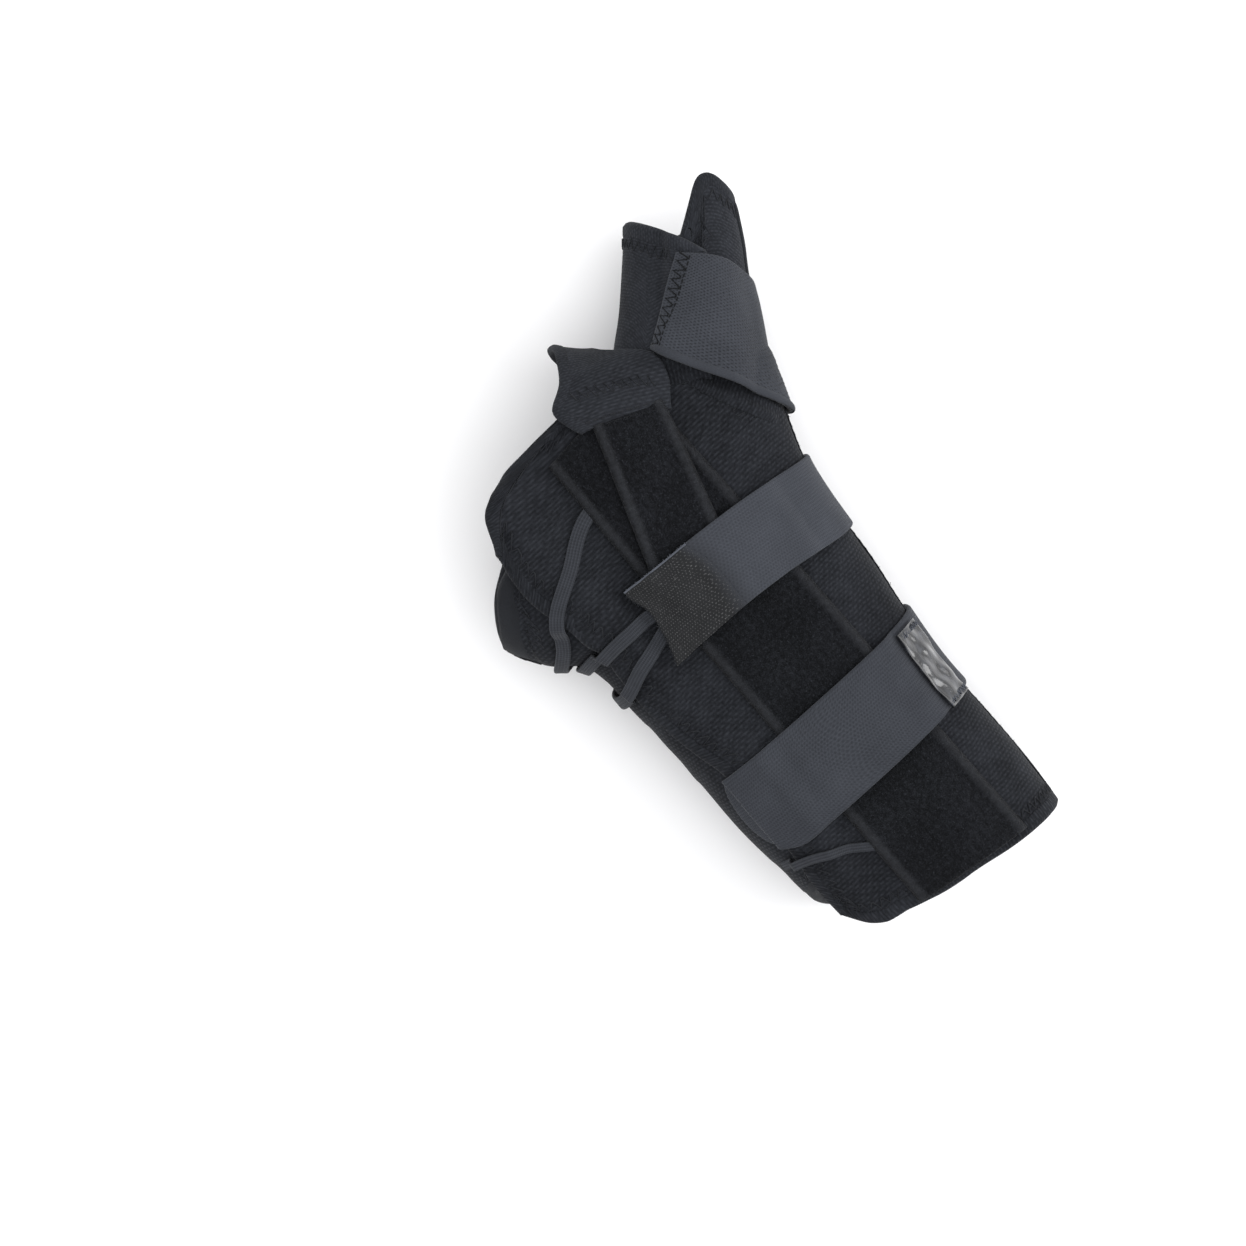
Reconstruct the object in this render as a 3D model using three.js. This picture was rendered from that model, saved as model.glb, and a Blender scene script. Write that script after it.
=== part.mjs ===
// Thumb spica splint for the left hand, closed, lying palm side down.
// Millimetres. +X runs from the fingers to the elbow, +Y to the thumb side, +Z to the back of the hand.
import * as THREE from "three";
import { mergeVertices } from "three/addons/utils/BufferGeometryUtils.js";

// Named sizes
const LENGTH = 200; // the length that stations along the forearm and hand are shares of
const WRIST_WIDTH = 73; // inside, thumb side to little-finger side
const WRIST_DEPTH = 42; // inside, palm side to back
const THUMB_LENGTH = 48; // from the root of the thumb to the tip of its stay panel
const THUMB_WIDTH = 36; // inside, at the root
const WALL = 3.6; // laminated panels
const SLEEVE_WALL = 3; // flap and stay panel round the thumb
const STRAP = 1.5; // elastic straps and the loop panel
const WEB_STRAP = 1.8;
const FILM = 1.2; // pull tab
const LACE = 1.1;
const LACE_WIDTH = 4.2;
const THIN_LACE_WIDTH = 2.7; // the one by the forearm strap
const WRIST_STRAP_WIDTH = 25;
const FOREARM_STRAP_WIDTH = 27.5;
const TAB_LENGTH = 26; // pull tab, along the forearm
const GAP = 0.3; // between pieces that touch
const SEAM = 0.9; // where a panel ends against the thumb
const STACK = WALL + GAP + STRAP; // what lies between the arm and the table
const OVER_BACK = WALL + GAP; // where pieces on the back panel start
const OVER_SLEEVE = SLEEVE_WALL + GAP;
const LAYER = STRAP + GAP; // one strap with its gap
const SQUARENESS = 2.5; // of the arm's sections; 2 is an ellipse
const RAD = Math.PI / 180;

// Smooth columns of a table of rows, read at a value of its key.
function smooth(rows, key, ...columns) {
  const knots = rows.map((row) => row[key]);
  const values = rows.flatMap((row) => columns.map((name) => row[name]));
  const spline = new THREE.CubicInterpolant(knots, values, columns.length);
  return (at) => Array.from(spline.evaluate(at));
}

// The hollow of forearm, wrist and hand. at: share of LENGTH from the wrist.
// little, thumb: how far it reaches to both sides, as shares of WRIST_WIDTH.
// low, high: its underside and its back, as shares of WRIST_DEPTH.
const hollow = smooth(
  [
    { at: -0.5, little: -0.863, thumb: 0.014, low: 0.276, high: 0.871 },
    { at: -0.44, little: -0.842, thumb: 0.123, low: 0.217, high: 0.9 },
    { at: -0.4, little: -0.829, thumb: 0.247, low: 0.181, high: 0.914 },
    { at: -0.37, little: -0.815, thumb: 0.425, low: 0.145, high: 0.926 },
    { at: -0.34, little: -0.795, thumb: 0.589, low: 0.121, high: 0.938 },
    { at: -0.31, little: -0.774, thumb: 0.685, low: 0.093, high: 0.948 },
    { at: -0.275, little: -0.753, thumb: 0.701, low: 0.067, high: 0.957 },
    { at: -0.235, little: -0.733, thumb: 0.666, low: 0.038, high: 0.967 },
    { at: -0.19, little: -0.705, thumb: 0.619, low: 0.002, high: 0.976 },
    { at: -0.15, little: -0.644, thumb: 0.575, low: -0.026, high: 0.983 },
    { at: -0.115, little: -0.545, thumb: 0.542, low: -0.038, high: 0.988 },
    { at: -0.07, little: -0.507, thumb: 0.518, low: -0.043, high: 0.993 },
    { at: -0.01, little: -0.507, thumb: 0.499, low: -0.043, high: 1.002 },
    { at: 0.05, little: -0.501, thumb: 0.484, low: -0.043, high: 1.019 },
    { at: 0.13, little: -0.501, thumb: 0.449, low: -0.043, high: 1.052 },
    { at: 0.225, little: -0.507, thumb: 0.419, low: -0.043, high: 1.086 },
    { at: 0.33, little: -0.484, thumb: 0.418, low: -0.043, high: 1.114 },
    { at: 0.42, little: -0.455, thumb: 0.411, low: -0.043, high: 1.133 },
    { at: 0.505, little: -0.425, thumb: 0.39, low: -0.038, high: 1.145 },
  ],
  "at",
  "little",
  "thumb",
  "low",
  "high",
);

// Middle and half sizes of the section at a station.
function section(x) {
  const [little, thumb, low, high] = hollow(x / LENGTH);
  return {
    y: ((thumb + little) / 2) * WRIST_WIDTH,
    z: STACK + ((high + low) / 2) * WRIST_DEPTH,
    across: ((thumb - little) / 2) * WRIST_WIDTH,
    up: ((high - low) / 2) * WRIST_DEPTH,
  };
}

function bulge(value) {
  return Math.sign(value) * Math.abs(value) ** (2 / SQUARENESS);
}

// A point of the hollow's own surface. turn: degrees from the back of the hand towards the thumb.
function onSkin(x, turn) {
  const s = section(x);
  const y = s.y + s.across * bulge(Math.sin(turn * RAD));
  const z = s.z + s.up * bulge(Math.cos(turn * RAD));
  return new THREE.Vector3(x, y, z);
}

// The same, a height above that surface, and never lower than its own layer on the table.
function onArm(x, turn, height) {
  const along = onSkin(x + 0.5, turn).sub(onSkin(x - 0.5, turn));
  const round = onSkin(x, turn + 1).sub(onSkin(x, turn - 1));
  const point = onSkin(x, turn).addScaledVector(along.cross(round).normalize(), height);
  point.z = Math.max(point.z, STACK - height);
  return point;
}

// How far a point lies outside the hollow.
function outside(point) {
  const reach = (x, y, z) => {
    const s = section(x);
    const side = Math.abs((y - s.y) / s.across) ** SQUARENESS;
    const rise = Math.abs((z - s.z) / s.up) ** SQUARENESS;
    return (side + rise) ** (1 / SQUARENESS) - 1;
  };
  const { x, y, z } = point;
  const slope = new THREE.Vector3(
    reach(x + 0.5, y, z) - reach(x - 0.5, y, z),
    reach(x, y + 0.5, z) - reach(x, y - 0.5, z),
    reach(x, y, z + 0.5) - reach(x, y, z - 0.5),
  );
  return reach(x, y, z) / slope.length();
}

// The turn at which the back of the hollow reaches a given y.
function turnAt(x, y, height) {
  let low = -100;
  let high = 100;
  for (let i = 0; i < 24; i++) {
    const middle = (low + high) / 2;
    if (onArm(x, middle, height).y < y) low = middle;
    else high = middle;
  }
  return low;
}

// The thumb's hollow: a slanted tube. s runs from its root to its tip, phi from its back to its outer side.
const ROOT = new THREE.Vector3(-0.3315 * LENGTH, 0.54 * WRIST_WIDTH, STACK + 0.514 * WRIST_DEPTH);
const TIPWARD = new THREE.Vector3(-0.79, 0.615, -0.05).normalize();
const OUTWARD = new THREE.Vector3(0.615, 0.79, 0).normalize();
const BACKWARD = new THREE.Vector3().crossVectors(OUTWARD, TIPWARD).normalize();

// at: share of THUMB_LENGTH; the rest are shares of THUMB_WIDTH.
const thumbHollow = smooth(
  [
    { at: -0.4, web: 0.54, outer: 0.51, back: 0.47 },
    { at: 0, web: 0.53, outer: 0.472, back: 0.467 },
    { at: 0.25, web: 0.461, outer: 0.433, back: 0.417 },
    { at: 0.42, web: 0.428, outer: 0.394, back: 0.394 },
    { at: 0.62, web: 0.394, outer: 0.378, back: 0.372 },
    { at: 0.84, web: 0.367, outer: 0.344, back: 0.356 },
    { at: 1.04, web: 0.356, outer: 0.328, back: 0.344 },
  ],
  "at",
  "web",
  "outer",
  "back",
);

function onThumb(s, phi, height) {
  const [web, outer, back] = thumbHollow(s / THUMB_LENGTH).map((share) => share * THUMB_WIDTH);
  const side = (outer - web) / 2 + ((outer + web) / 2) * Math.sin(phi * RAD);
  const rise = back * Math.cos(phi * RAD);
  const out = new THREE.Vector2(Math.sin(phi * RAD) * back, (Math.cos(phi * RAD) * (outer + web)) / 2);
  out.normalize().multiplyScalar(height);
  return ROOT.clone()
    .addScaledVector(TIPWARD, s)
    .addScaledVector(OUTWARD, side + out.x)
    .addScaledVector(BACKWARD, rise + out.y);
}

// Where a point lies by the thumb: along it, to its outer side, and how far outside its hollow.
function byThumb(point) {
  const from = point.clone().sub(ROOT);
  const s = from.dot(TIPWARD);
  const side = from.dot(OUTWARD);
  const [web, outer, back] = thumbHollow(s / THUMB_LENGTH).map((share) => share * THUMB_WIDTH);
  const across = new THREE.Vector2(side - (outer - web) / 2, from.dot(BACKWARD));
  const reach = Math.hypot(across.x / ((outer + web) / 2), across.y / back);
  return { s, side, clear: (across.length() * (reach - 1)) / reach };
}

// The seam where the panels stop and the thumb's own pieces start: s for each distance to the outer side.
const thumbSeam = smooth(
  [
    { side: -0.7, s: -0.3 },
    { side: -0.39, s: -0.21 },
    { side: -0.22, s: -0.05 },
    { side: -0.1, s: 0.0 },
    { side: 0.02, s: -0.035 },
    { side: 0.28, s: -0.145 },
    { side: 0.56, s: -0.255 },
    { side: 0.7, s: -0.31 },
  ],
  "side",
  "s",
);

function seamAt(side) {
  return thumbSeam(side / THUMB_WIDTH)[0] * THUMB_LENGTH;
}

// Whether a panel, anywhere in its thickness, would run into the thumb's pieces.
function meetsThumb(x, turn) {
  return [0, 0.5, 1].some((out) => {
    const { s, side, clear } = byThumb(onArm(x, turn, out * WALL));
    return s > seamAt(side) - 2 * SEAM && clear < SLEEVE_WALL + SEAM;
  });
}

// The last turn, going from one towards another, at which a panel stays clear of them.
function clearTurn(x, from, to) {
  const steps = 90;
  const turn = (i) => from + ((to - from) * i) / steps;
  let step = 0;
  while (step < steps && !meetsThumb(x, turn(step + 1))) step++;
  if (step === steps) return to;
  let clear = turn(step);
  let met = turn(step + 1);
  for (let i = 0; i < 12; i++) {
    const middle = (clear + met) / 2;
    if (meetsThumb(x, middle)) met = middle;
    else clear = middle;
  }
  return clear;
}

const ramp = (value, from, to) => THREE.MathUtils.smoothstep((value - from) / (to - from), 0, 1);

// A sheet of cloth: a box whose length, width and thickness run from 0 to 1 and are put in place by shape.
function sheet(name, color, long, wide, shape) {
  const box = new THREE.BoxGeometry(1, 1, 1, long, wide, 1);
  box.translate(0.5, 0.5, 0.5);
  box.deleteAttribute("uv");
  box.deleteAttribute("normal");
  const geometry = mergeVertices(box, 1e-6);
  const position = geometry.getAttribute("position");
  for (let i = 0; i < position.count; i++) {
    const point = shape(position.getX(i), position.getY(i), position.getZ(i));
    position.setXYZ(i, point.x, point.y, point.z);
  }
  geometry.computeVertexNormals();
  const mesh = new THREE.Mesh(geometry, new THREE.MeshStandardMaterial({ color, roughness: 0.9 }));
  mesh.name = name;
  return mesh;
}

// A patch of a panel between four edges, each a function that gives { x, turn }.
function between(edges, a, b) {
  const low = edges.start(a);
  const high = edges.end(a);
  const near = edges.distal(b);
  const far = edges.proximal(b);
  const corner = [edges.start(0), edges.start(1), edges.end(0), edges.end(1)];
  const blend = (key) =>
    (1 - b) * low[key] +
    b * high[key] +
    (1 - a) * near[key] +
    a * far[key] -
    (1 - b) * ((1 - a) * corner[0][key] + a * corner[1][key]) -
    b * ((1 - a) * corner[2][key] + a * corner[3][key]);
  return { x: blend("x"), turn: blend("turn") };
}

// Back panel. Its edge on the little-finger side; x as a share of LENGTH.
const backLittle = smooth(
  [
    { x: -0.5, turn: -30 },
    { x: -0.31, turn: -35.5 },
    { x: -0.27, turn: -39.5 },
    { x: -0.225, turn: -41 },
    { x: -0.19, turn: -40 },
    { x: -0.165, turn: -40.5 },
    { x: -0.133, turn: -46 },
    { x: -0.077, turn: -56 },
    { x: -0.016, turn: -57.5 },
    { x: 0.04, turn: -56.5 },
    { x: 0.092, turn: -52 },
    { x: 0.125, turn: -48 },
    { x: 0.2, turn: -46.5 },
    { x: 0.27, turn: -48 },
    { x: 0.335, turn: -54 },
    { x: 0.4, turn: -57 },
  ],
  "x",
  "turn",
);
const backDistal = smooth(
  [
    { b: 0, x: -0.31, turn: -35.5 },
    { b: 0.18, x: -0.357, turn: -23 },
    { b: 0.38, x: -0.38, turn: -7 },
    { b: 0.55, x: -0.386, turn: 4 },
    { b: 0.8, x: -0.388, turn: 24 },
    { b: 1, x: -0.392, turn: 42 },
  ],
  "b",
  "x",
  "turn",
);
const backProximal = smooth(
  [
    { b: 0, x: 0.385, turn: -56.8 },
    { b: 0.1, x: 0.42, turn: -46 },
    { b: 0.34, x: 0.449, turn: -15 },
    { b: 0.5, x: 0.459, turn: 2 },
    { b: 0.7, x: 0.473, turn: 28 },
    { b: 1, x: 0.492, turn: 95 },
  ],
  "b",
  "x",
  "turn",
);
const littleEdge = (x) => backLittle(x / LENGTH)[0];

// The back panel's edge rides up over the palm panel's edge on the little-finger side.
const lift = (x, turn) => OVER_BACK * ramp(turn, littleEdge(x) + 28, littleEdge(x) + 17);

const backEdges = {
  start(a) {
    const x = THREE.MathUtils.lerp(-0.31, 0.385, a) * LENGTH;
    return { x, turn: littleEdge(x) };
  },
  end(a) {
    const x = THREE.MathUtils.lerp(-0.392, 0.492, a) * LENGTH;
    if (a === 0) return { x, turn: 42 };
    return { x, turn: clearTurn(x, 30, 95) };
  },
  distal(b) {
    const [x, turn] = backDistal(b);
    return { x: x * LENGTH, turn };
  },
  proximal(b) {
    const [x, turn] = backProximal(b);
    return { x: x * LENGTH, turn };
  },
};
const backPanel = sheet("back_panel", 0x1e2124, 34, 20, (a, b, out) => {
  const { x, turn } = between(backEdges, a, b);
  return onArm(x, turn, lift(x, turn) + out * WALL);
});

// Palm panel, from its seam with the back panel on the thumb side round the palm to under the back panel.
const palmDistal = smooth(
  [
    { b: 0, x: -0.4, turn: -250 },
    { b: 0.15, x: -0.39, turn: -222 },
    { b: 0.36, x: -0.345, turn: -180 },
    { b: 0.6, x: -0.262, turn: -130 },
    { b: 0.78, x: -0.205, turn: -92 },
    { b: 0.88, x: -0.226, turn: -69 },
    { b: 0.95, x: -0.275, turn: -46 },
    { b: 1, x: -0.29, turn: -26 },
  ],
  "b",
  "x",
  "turn",
);
const palmProximal = smooth(
  [
    { b: 0, x: 0.49, turn: -264 },
    { b: 0.3, x: 0.475, turn: -215 },
    { b: 0.52, x: 0.455, turn: -165 },
    { b: 0.72, x: 0.405, turn: -115 },
    { b: 0.86, x: 0.352, turn: -78 },
    { b: 1, x: 0.34, turn: -42 },
  ],
  "b",
  "x",
  "turn",
);
const palmEdges = {
  start(a) {
    const x = THREE.MathUtils.lerp(-0.4, 0.49, a) * LENGTH;
    if (a === 0) return { x, turn: -250 };
    return { x, turn: clearTurn(x, -200, -264) };
  },
  end(a) {
    const x = THREE.MathUtils.lerp(-0.29, 0.34, a) * LENGTH;
    return { x, turn: littleEdge(x) + 12 };
  },
  distal(b) {
    const [x, turn] = palmDistal(b);
    return { x: x * LENGTH, turn };
  },
  proximal(b) {
    const [x, turn] = palmProximal(b);
    return { x: x * LENGTH, turn };
  },
};
const palmPanel = sheet("palm_panel", 0x1b1e21, 28, 26, (a, b, out) => {
  const { x, turn } = between(palmEdges, a, b);
  return onArm(x, turn, out * WALL);
});

// Loop panel: a long strip down the back panel. x as a share of LENGTH, y as a share of WRIST_WIDTH.
const loopEdges = smooth(
  [
    { a: 0, littleX: -0.351, littleY: -0.171, thumbX: -0.364, thumbY: 0.292 },
    { a: 0.25, littleX: -0.156, littleY: -0.19, thumbX: -0.156, thumbY: 0.289 },
    { a: 0.5, littleX: 0.044, littleY: -0.198, thumbX: 0.052, thumbY: 0.283 },
    { a: 0.75, littleX: 0.244, littleY: -0.213, thumbX: 0.26, thumbY: 0.27 },
    { a: 1, littleX: 0.442, littleY: -0.224, thumbX: 0.466, thumbY: 0.262 },
  ],
  "a",
  "littleX",
  "littleY",
  "thumbX",
  "thumbY",
);
const loopPanel = sheet("loop_panel", 0x1c1c1e, 28, 6, (a, b, out) => {
  const [littleX, littleY, thumbX, thumbY] = loopEdges(a);
  const x = THREE.MathUtils.lerp(littleX, thumbX, b) * LENGTH;
  const y = THREE.MathUtils.lerp(littleY, thumbY, b) * WRIST_WIDTH;
  const turn = turnAt(x, y, OVER_BACK);
  return onArm(x, turn, lift(x, turn) + OVER_BACK + GAP + out * STRAP);
});

// Web strap: from the palm through the web beside the thumb, over the back and under the wrist strap.
// over: how many layers of strap it lies on.
const webEdges = smooth(
  [
    { a: 0, littleX: -0.36, littleTurn: 160, thumbX: -0.325, thumbTurn: 156, over: 0 },
    { a: 0.12, littleX: -0.405, littleTurn: 132, thumbX: -0.37, thumbTurn: 126, over: 0 },
    { a: 0.26, littleX: -0.4525, littleTurn: 100, thumbX: -0.405, thumbTurn: 92, over: 0 },
    { a: 0.38, littleX: -0.436, littleTurn: 62, thumbX: -0.386, thumbTurn: 64.5, over: 0.45 },
    { a: 0.46, littleX: -0.408, littleTurn: 40, thumbX: -0.358, thumbTurn: 49.5, over: 1.05 },
    { a: 0.54, littleX: -0.3835, littleTurn: 23.6, thumbX: -0.333, thumbTurn: 33, over: 1.1 },
    { a: 0.62, littleX: -0.3425, littleTurn: 11.7, thumbX: -0.304, thumbTurn: 21.3, over: 1.1 },
    { a: 0.82, littleX: -0.22, littleTurn: 1, thumbX: -0.19, thumbTurn: 16, over: 1.1 },
    { a: 1, littleX: -0.128, littleTurn: -5, thumbX: -0.105, thumbTurn: 10, over: 1.1 },
  ],
  "a",
  "littleX",
  "littleTurn",
  "thumbX",
  "thumbTurn",
  "over",
);
const webStrap = sheet("web_strap", 0x202022, 26, 4, (a, b, out) => {
  const [littleX, littleTurn, thumbX, thumbTurn, over] = webEdges(a);
  const x = THREE.MathUtils.lerp(littleX, thumbX, b) * LENGTH;
  const turn = THREE.MathUtils.lerp(littleTurn, thumbTurn, b);
  return onArm(x, turn, OVER_BACK + over * LAYER + out * WEB_STRAP);
});

// Wrist strap with its hook tab. It rides over the loop panel, and higher over the end of the web strap.
const wristRise = (turn) =>
  1.3 * ramp(turn, 46, 34) * ramp(turn, -62, -40) + 1.1 * ramp(turn, -16, -8) * ramp(turn, 24, 14);
// middle: share of LENGTH that it runs along; spread: its width along the arm, as a share of its own.
const wristPath = smooth(
  [
    { turn: -34, middle: -0.095, spread: 1.09 },
    { turn: 2, middle: -0.09, spread: 0.96 },
    { turn: 63, middle: -0.065, spread: 0.976 },
    { turn: 120, middle: -0.06, spread: 0.96 },
    { turn: 240, middle: -0.049, spread: 0.944 },
  ],
  "turn",
  "middle",
  "spread",
);
function wristBand(name, color, long, wide, start, end) {
  return sheet(name, color, long, wide, (a, b, out) => {
    const turn = THREE.MathUtils.lerp(start(a), end, b);
    const [middle, spread] = wristPath(turn);
    const x = middle * LENGTH + (a - 0.5) * spread * WRIST_STRAP_WIDTH;
    return onArm(x, turn, lift(x, turn) + OVER_BACK + wristRise(turn) * LAYER + out * STRAP);
  });
}
const tabEnd = (a) => THREE.MathUtils.lerp(-16.5, -29, a);
const wristTab = wristBand("wrist_hook_tab", 0x32302a, 3, 8, tabEnd, 1.8);
const wristStrap = wristBand("wrist_strap", 0x414348, 3, 36, () => 2.4, 238);

// Forearm strap: sewn on at the back panel's little-finger edge, over the back and round to the palm side.
const forearmRise = (turn) => 1.25 * ramp(turn, -32, -20) * ramp(turn, 48, 36);
const forearmMiddle = 0.206 * LENGTH;
const forearmStrap = sheet("forearm_strap", 0x3c3e42, 3, 40, (a, b, out) => {
  const x = forearmMiddle + (a - 0.5) * FOREARM_STRAP_WIDTH;
  const turn = THREE.MathUtils.lerp(littleEdge(x) - 7.5, 238, b);
  const tuck = OVER_BACK * ramp(turn, littleEdge(x) - 1, littleEdge(x) - 7);
  const rise = forearmRise(turn) * LAYER;
  return onArm(x, turn, lift(x, turn) - tuck + OVER_BACK + rise + out * STRAP);
});
const pullTab = sheet("pull_tab", 0x777b82, 4, 4, (a, b, out) => {
  const x = forearmMiddle + 1 + (a - 0.5) * TAB_LENGTH;
  const turn = THREE.MathUtils.lerp(46, 64, b);
  return onArm(x, turn, OVER_BACK + LAYER + GAP + out * FILM);
});

// Flat laces from the back panel over the little-finger edge to the palm side.
// x as a share of LENGTH; over: 1 on the back panel, 0 on the palm panel.
function lace(name, width, rows) {
  const path = smooth(rows, "a", "x", "turn");
  return sheet(name, 0x303338, 24, 1, (a, b, out) => {
    const at = (share, more) => {
      const [station, turn] = path(share);
      const x = station * LENGTH;
      const tuck = ramp(turn, littleEdge(x) - 8, littleEdge(x) - 1.5);
      return onArm(x, turn, OVER_BACK + 2 * GAP + lift(x, turn) * tuck + more);
    };
    const along = at(a + 0.02, 0).sub(at(a, 0));
    const up = at(a, LACE).sub(at(a, 0));
    const side = up.cross(along).normalize();
    return at(a, out * LACE).addScaledVector(side, (b - 0.5) * width);
  });
}
const laces = [
  lace("lace_1", LACE_WIDTH, [
    { a: 0, x: -0.264, turn: -9.9 },
    { a: 0.25, x: -0.225, turn: -23 },
    { a: 0.45, x: -0.195, turn: -37 },
    { a: 0.65, x: -0.155, turn: -54 },
    { a: 0.8, x: -0.142, turn: -75 },
    { a: 1.02, x: -0.131, turn: -118 },
  ]),
  lace("lace_2", LACE_WIDTH, [
    { a: 0, x: -0.104, turn: -19.5 },
    { a: 0.3, x: -0.112, turn: -35 },
    { a: 0.6, x: -0.117, turn: -58 },
    { a: 0.8, x: -0.112, turn: -80 },
    { a: 1.02, x: -0.1, turn: -118 },
  ]),
  lace("lace_3", LACE_WIDTH, [
    { a: 0, x: -0.078, turn: -21 },
    { a: 0.3, x: -0.058, turn: -42 },
    { a: 0.6, x: -0.035, turn: -62 },
    { a: 0.8, x: -0.03, turn: -84 },
    { a: 1.02, x: -0.035, turn: -118 },
  ]),
  lace("lace_4", THIN_LACE_WIDTH, [
    { a: 0, x: 0.334, turn: -20 },
    { a: 0.35, x: 0.305, turn: -34 },
    { a: 0.65, x: 0.291, turn: -47 },
    { a: 1.02, x: 0.286, turn: -66 },
  ]),
];

// Pieces round the thumb. top: share of THUMB_LENGTH that each reaches at a turn round the thumb.
function thumbBase(phi, height) {
  const free = (s) => {
    const point = onThumb(s, phi, height);
    return s > seamAt(byThumb(point).side) && outside(point) > GAP;
  };
  let high = 0.5 * THUMB_LENGTH;
  let low = -0.4 * THUMB_LENGTH;
  for (let i = 0; i < 24; i++) {
    const middle = (low + high) / 2;
    if (free(middle)) high = middle;
    else low = middle;
  }
  return high;
}
function thumbPiece(name, color, long, wide, edges, top, heightAt) {
  return sheet(name, color, long, wide, (a, b, out) => {
    const [start, end] = edges(a);
    const phi = THREE.MathUtils.lerp(start, end, b);
    const height = heightAt(phi) + out * SLEEVE_WALL;
    const s = THREE.MathUtils.lerp(top(phi)[0] * THUMB_LENGTH, thumbBase(phi, height), a);
    return onThumb(s, phi, height);
  });
}
const flapTop = smooth(
  [
    { phi: -177, top: 0.68 },
    { phi: -130, top: 0.74 },
    { phi: -90, top: 0.77 },
    { phi: -50, top: 0.74 },
    { phi: -8, top: 0.645 },
    { phi: 16, top: 0.55 },
  ],
  "phi",
  "top",
);
// The flap's free edge lies on the stay panel.
const flapRise = (phi) => OVER_SLEEVE * ramp(phi, -26, -12);
const thumbFlap = thumbPiece("thumb_flap", 0x1f2124, 8, 18, () => [-177, 14], flapTop, flapRise);
const stayTop = smooth(
  [
    { phi: -6, top: 0.64 },
    { phi: 8, top: 0.84 },
    { phi: 18, top: 0.97 },
    { phi: 32, top: 1.01 },
    { phi: 55, top: 0.96 },
    { phi: 90, top: 0.87 },
    { phi: 130, top: 0.78 },
    { phi: 181, top: 0.69 },
  ],
  "phi",
  "top",
);
const thumbStay = thumbPiece("thumb_stay_panel", 0x232527, 9, 18, () => [-6, 181.6], stayTop, () => 0);

// Thumb strap: wide elastic over flap and stay panel, flared towards the wrist.
// b: share across it, from its free edge round the outer side to the palm.
const thumbStrapEdges = smooth(
  [
    { b: 0, topPhi: -10, top: 0.565, lowPhi: -32, low: 0.03 },
    { b: 0.2, topPhi: 22, top: 0.53, lowPhi: 12, low: -0.155 },
    { b: 0.5, topPhi: 90, top: 0.375, lowPhi: 90, low: -0.385 },
    { b: 0.8, topPhi: 158, top: 0.34, lowPhi: 160, low: -0.3 },
    { b: 1, topPhi: 205, top: 0.33, lowPhi: 205, low: -0.05 },
  ],
  "b",
  "topPhi",
  "top",
  "lowPhi",
  "low",
);
const thumbStrap = sheet("thumb_strap", 0x36383c, 8, 20, (a, b, out) => {
  const [topPhi, top, lowPhi, low] = thumbStrapEdges(b);
  const phi = THREE.MathUtils.lerp(topPhi, lowPhi, a);
  const s = THREE.MathUtils.lerp(top, low, a) * THUMB_LENGTH;
  let height = OVER_SLEEVE + OVER_SLEEVE * ramp(phi, -34, -18) * ramp(phi, 58, 16);
  while (outside(onThumb(s, phi, height)) < OVER_BACK + GAP && height < THUMB_WIDTH) height += GAP;
  return onThumb(s, phi, height + out * STRAP);
});

const splint = new THREE.Group();
splint.name = "thumb_spica_splint";
splint.add(backPanel, palmPanel, loopPanel, webStrap);
splint.add(wristStrap, wristTab, forearmStrap, pullTab, ...laces);
splint.add(thumbFlap, thumbStay, thumbStrap);

// The origin is under the middle of the whole, on the table.
const bounds = new THREE.Box3().setFromObject(splint, true);
const middle = bounds.getCenter(new THREE.Vector3());
splint.position.set(-middle.x, -middle.y, -bounds.min.z);

export default splint;
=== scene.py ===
"""Looks of a thumb spica splint for the left hand: knit panels, plush, elastic straps and laces.

The form is worked out in millimetres from the splint's own sizes and put in the frame in metres.
+X runs from the fingers to the elbow, +Y to the thumb side, +Z to the back of the hand.
"""

import bmesh
import bpy
import numpy as np
from mathutils import Matrix, Vector


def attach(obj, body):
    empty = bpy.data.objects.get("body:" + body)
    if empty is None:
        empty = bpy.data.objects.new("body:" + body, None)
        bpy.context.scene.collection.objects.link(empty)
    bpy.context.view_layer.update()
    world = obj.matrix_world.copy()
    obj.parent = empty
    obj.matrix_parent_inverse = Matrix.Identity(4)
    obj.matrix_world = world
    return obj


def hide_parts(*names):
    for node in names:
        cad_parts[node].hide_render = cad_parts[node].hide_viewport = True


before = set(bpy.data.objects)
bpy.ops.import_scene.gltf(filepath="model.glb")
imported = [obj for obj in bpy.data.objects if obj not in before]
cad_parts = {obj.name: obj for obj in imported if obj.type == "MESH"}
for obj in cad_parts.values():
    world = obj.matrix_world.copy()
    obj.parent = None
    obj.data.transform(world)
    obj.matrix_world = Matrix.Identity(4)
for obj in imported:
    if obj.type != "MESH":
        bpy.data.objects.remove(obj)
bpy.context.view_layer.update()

# Sizes, in millimetres
LENGTH = 200
WRIST_WIDTH = 73
WRIST_DEPTH = 42
THUMB_LENGTH = 48
THUMB_WIDTH = 36
WALL = 3.6
SLEEVE_WALL = 3
STRAP = 1.5
WEB_STRAP = 1.8
FILM = 1.2
LACE = 1.1
LACE_WIDTH = 4.2
THIN_LACE_WIDTH = 2.7
WRIST_STRAP_WIDTH = 25
FOREARM_STRAP_WIDTH = 27.5
TAB_LENGTH = 26
GAP = 0.3
SEAM = 0.9
STACK = WALL + GAP + STRAP
OVER_BACK = WALL + GAP
OVER_SLEEVE = SLEEVE_WALL + GAP
LAYER = STRAP + GAP
SQUARENESS = 2.5
MM = 0.001
MIDDLE = np.array([-3.379, 11.0575, 0])  # middle of the whole, which the frame has as its origin


# ---- The form ----


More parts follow.
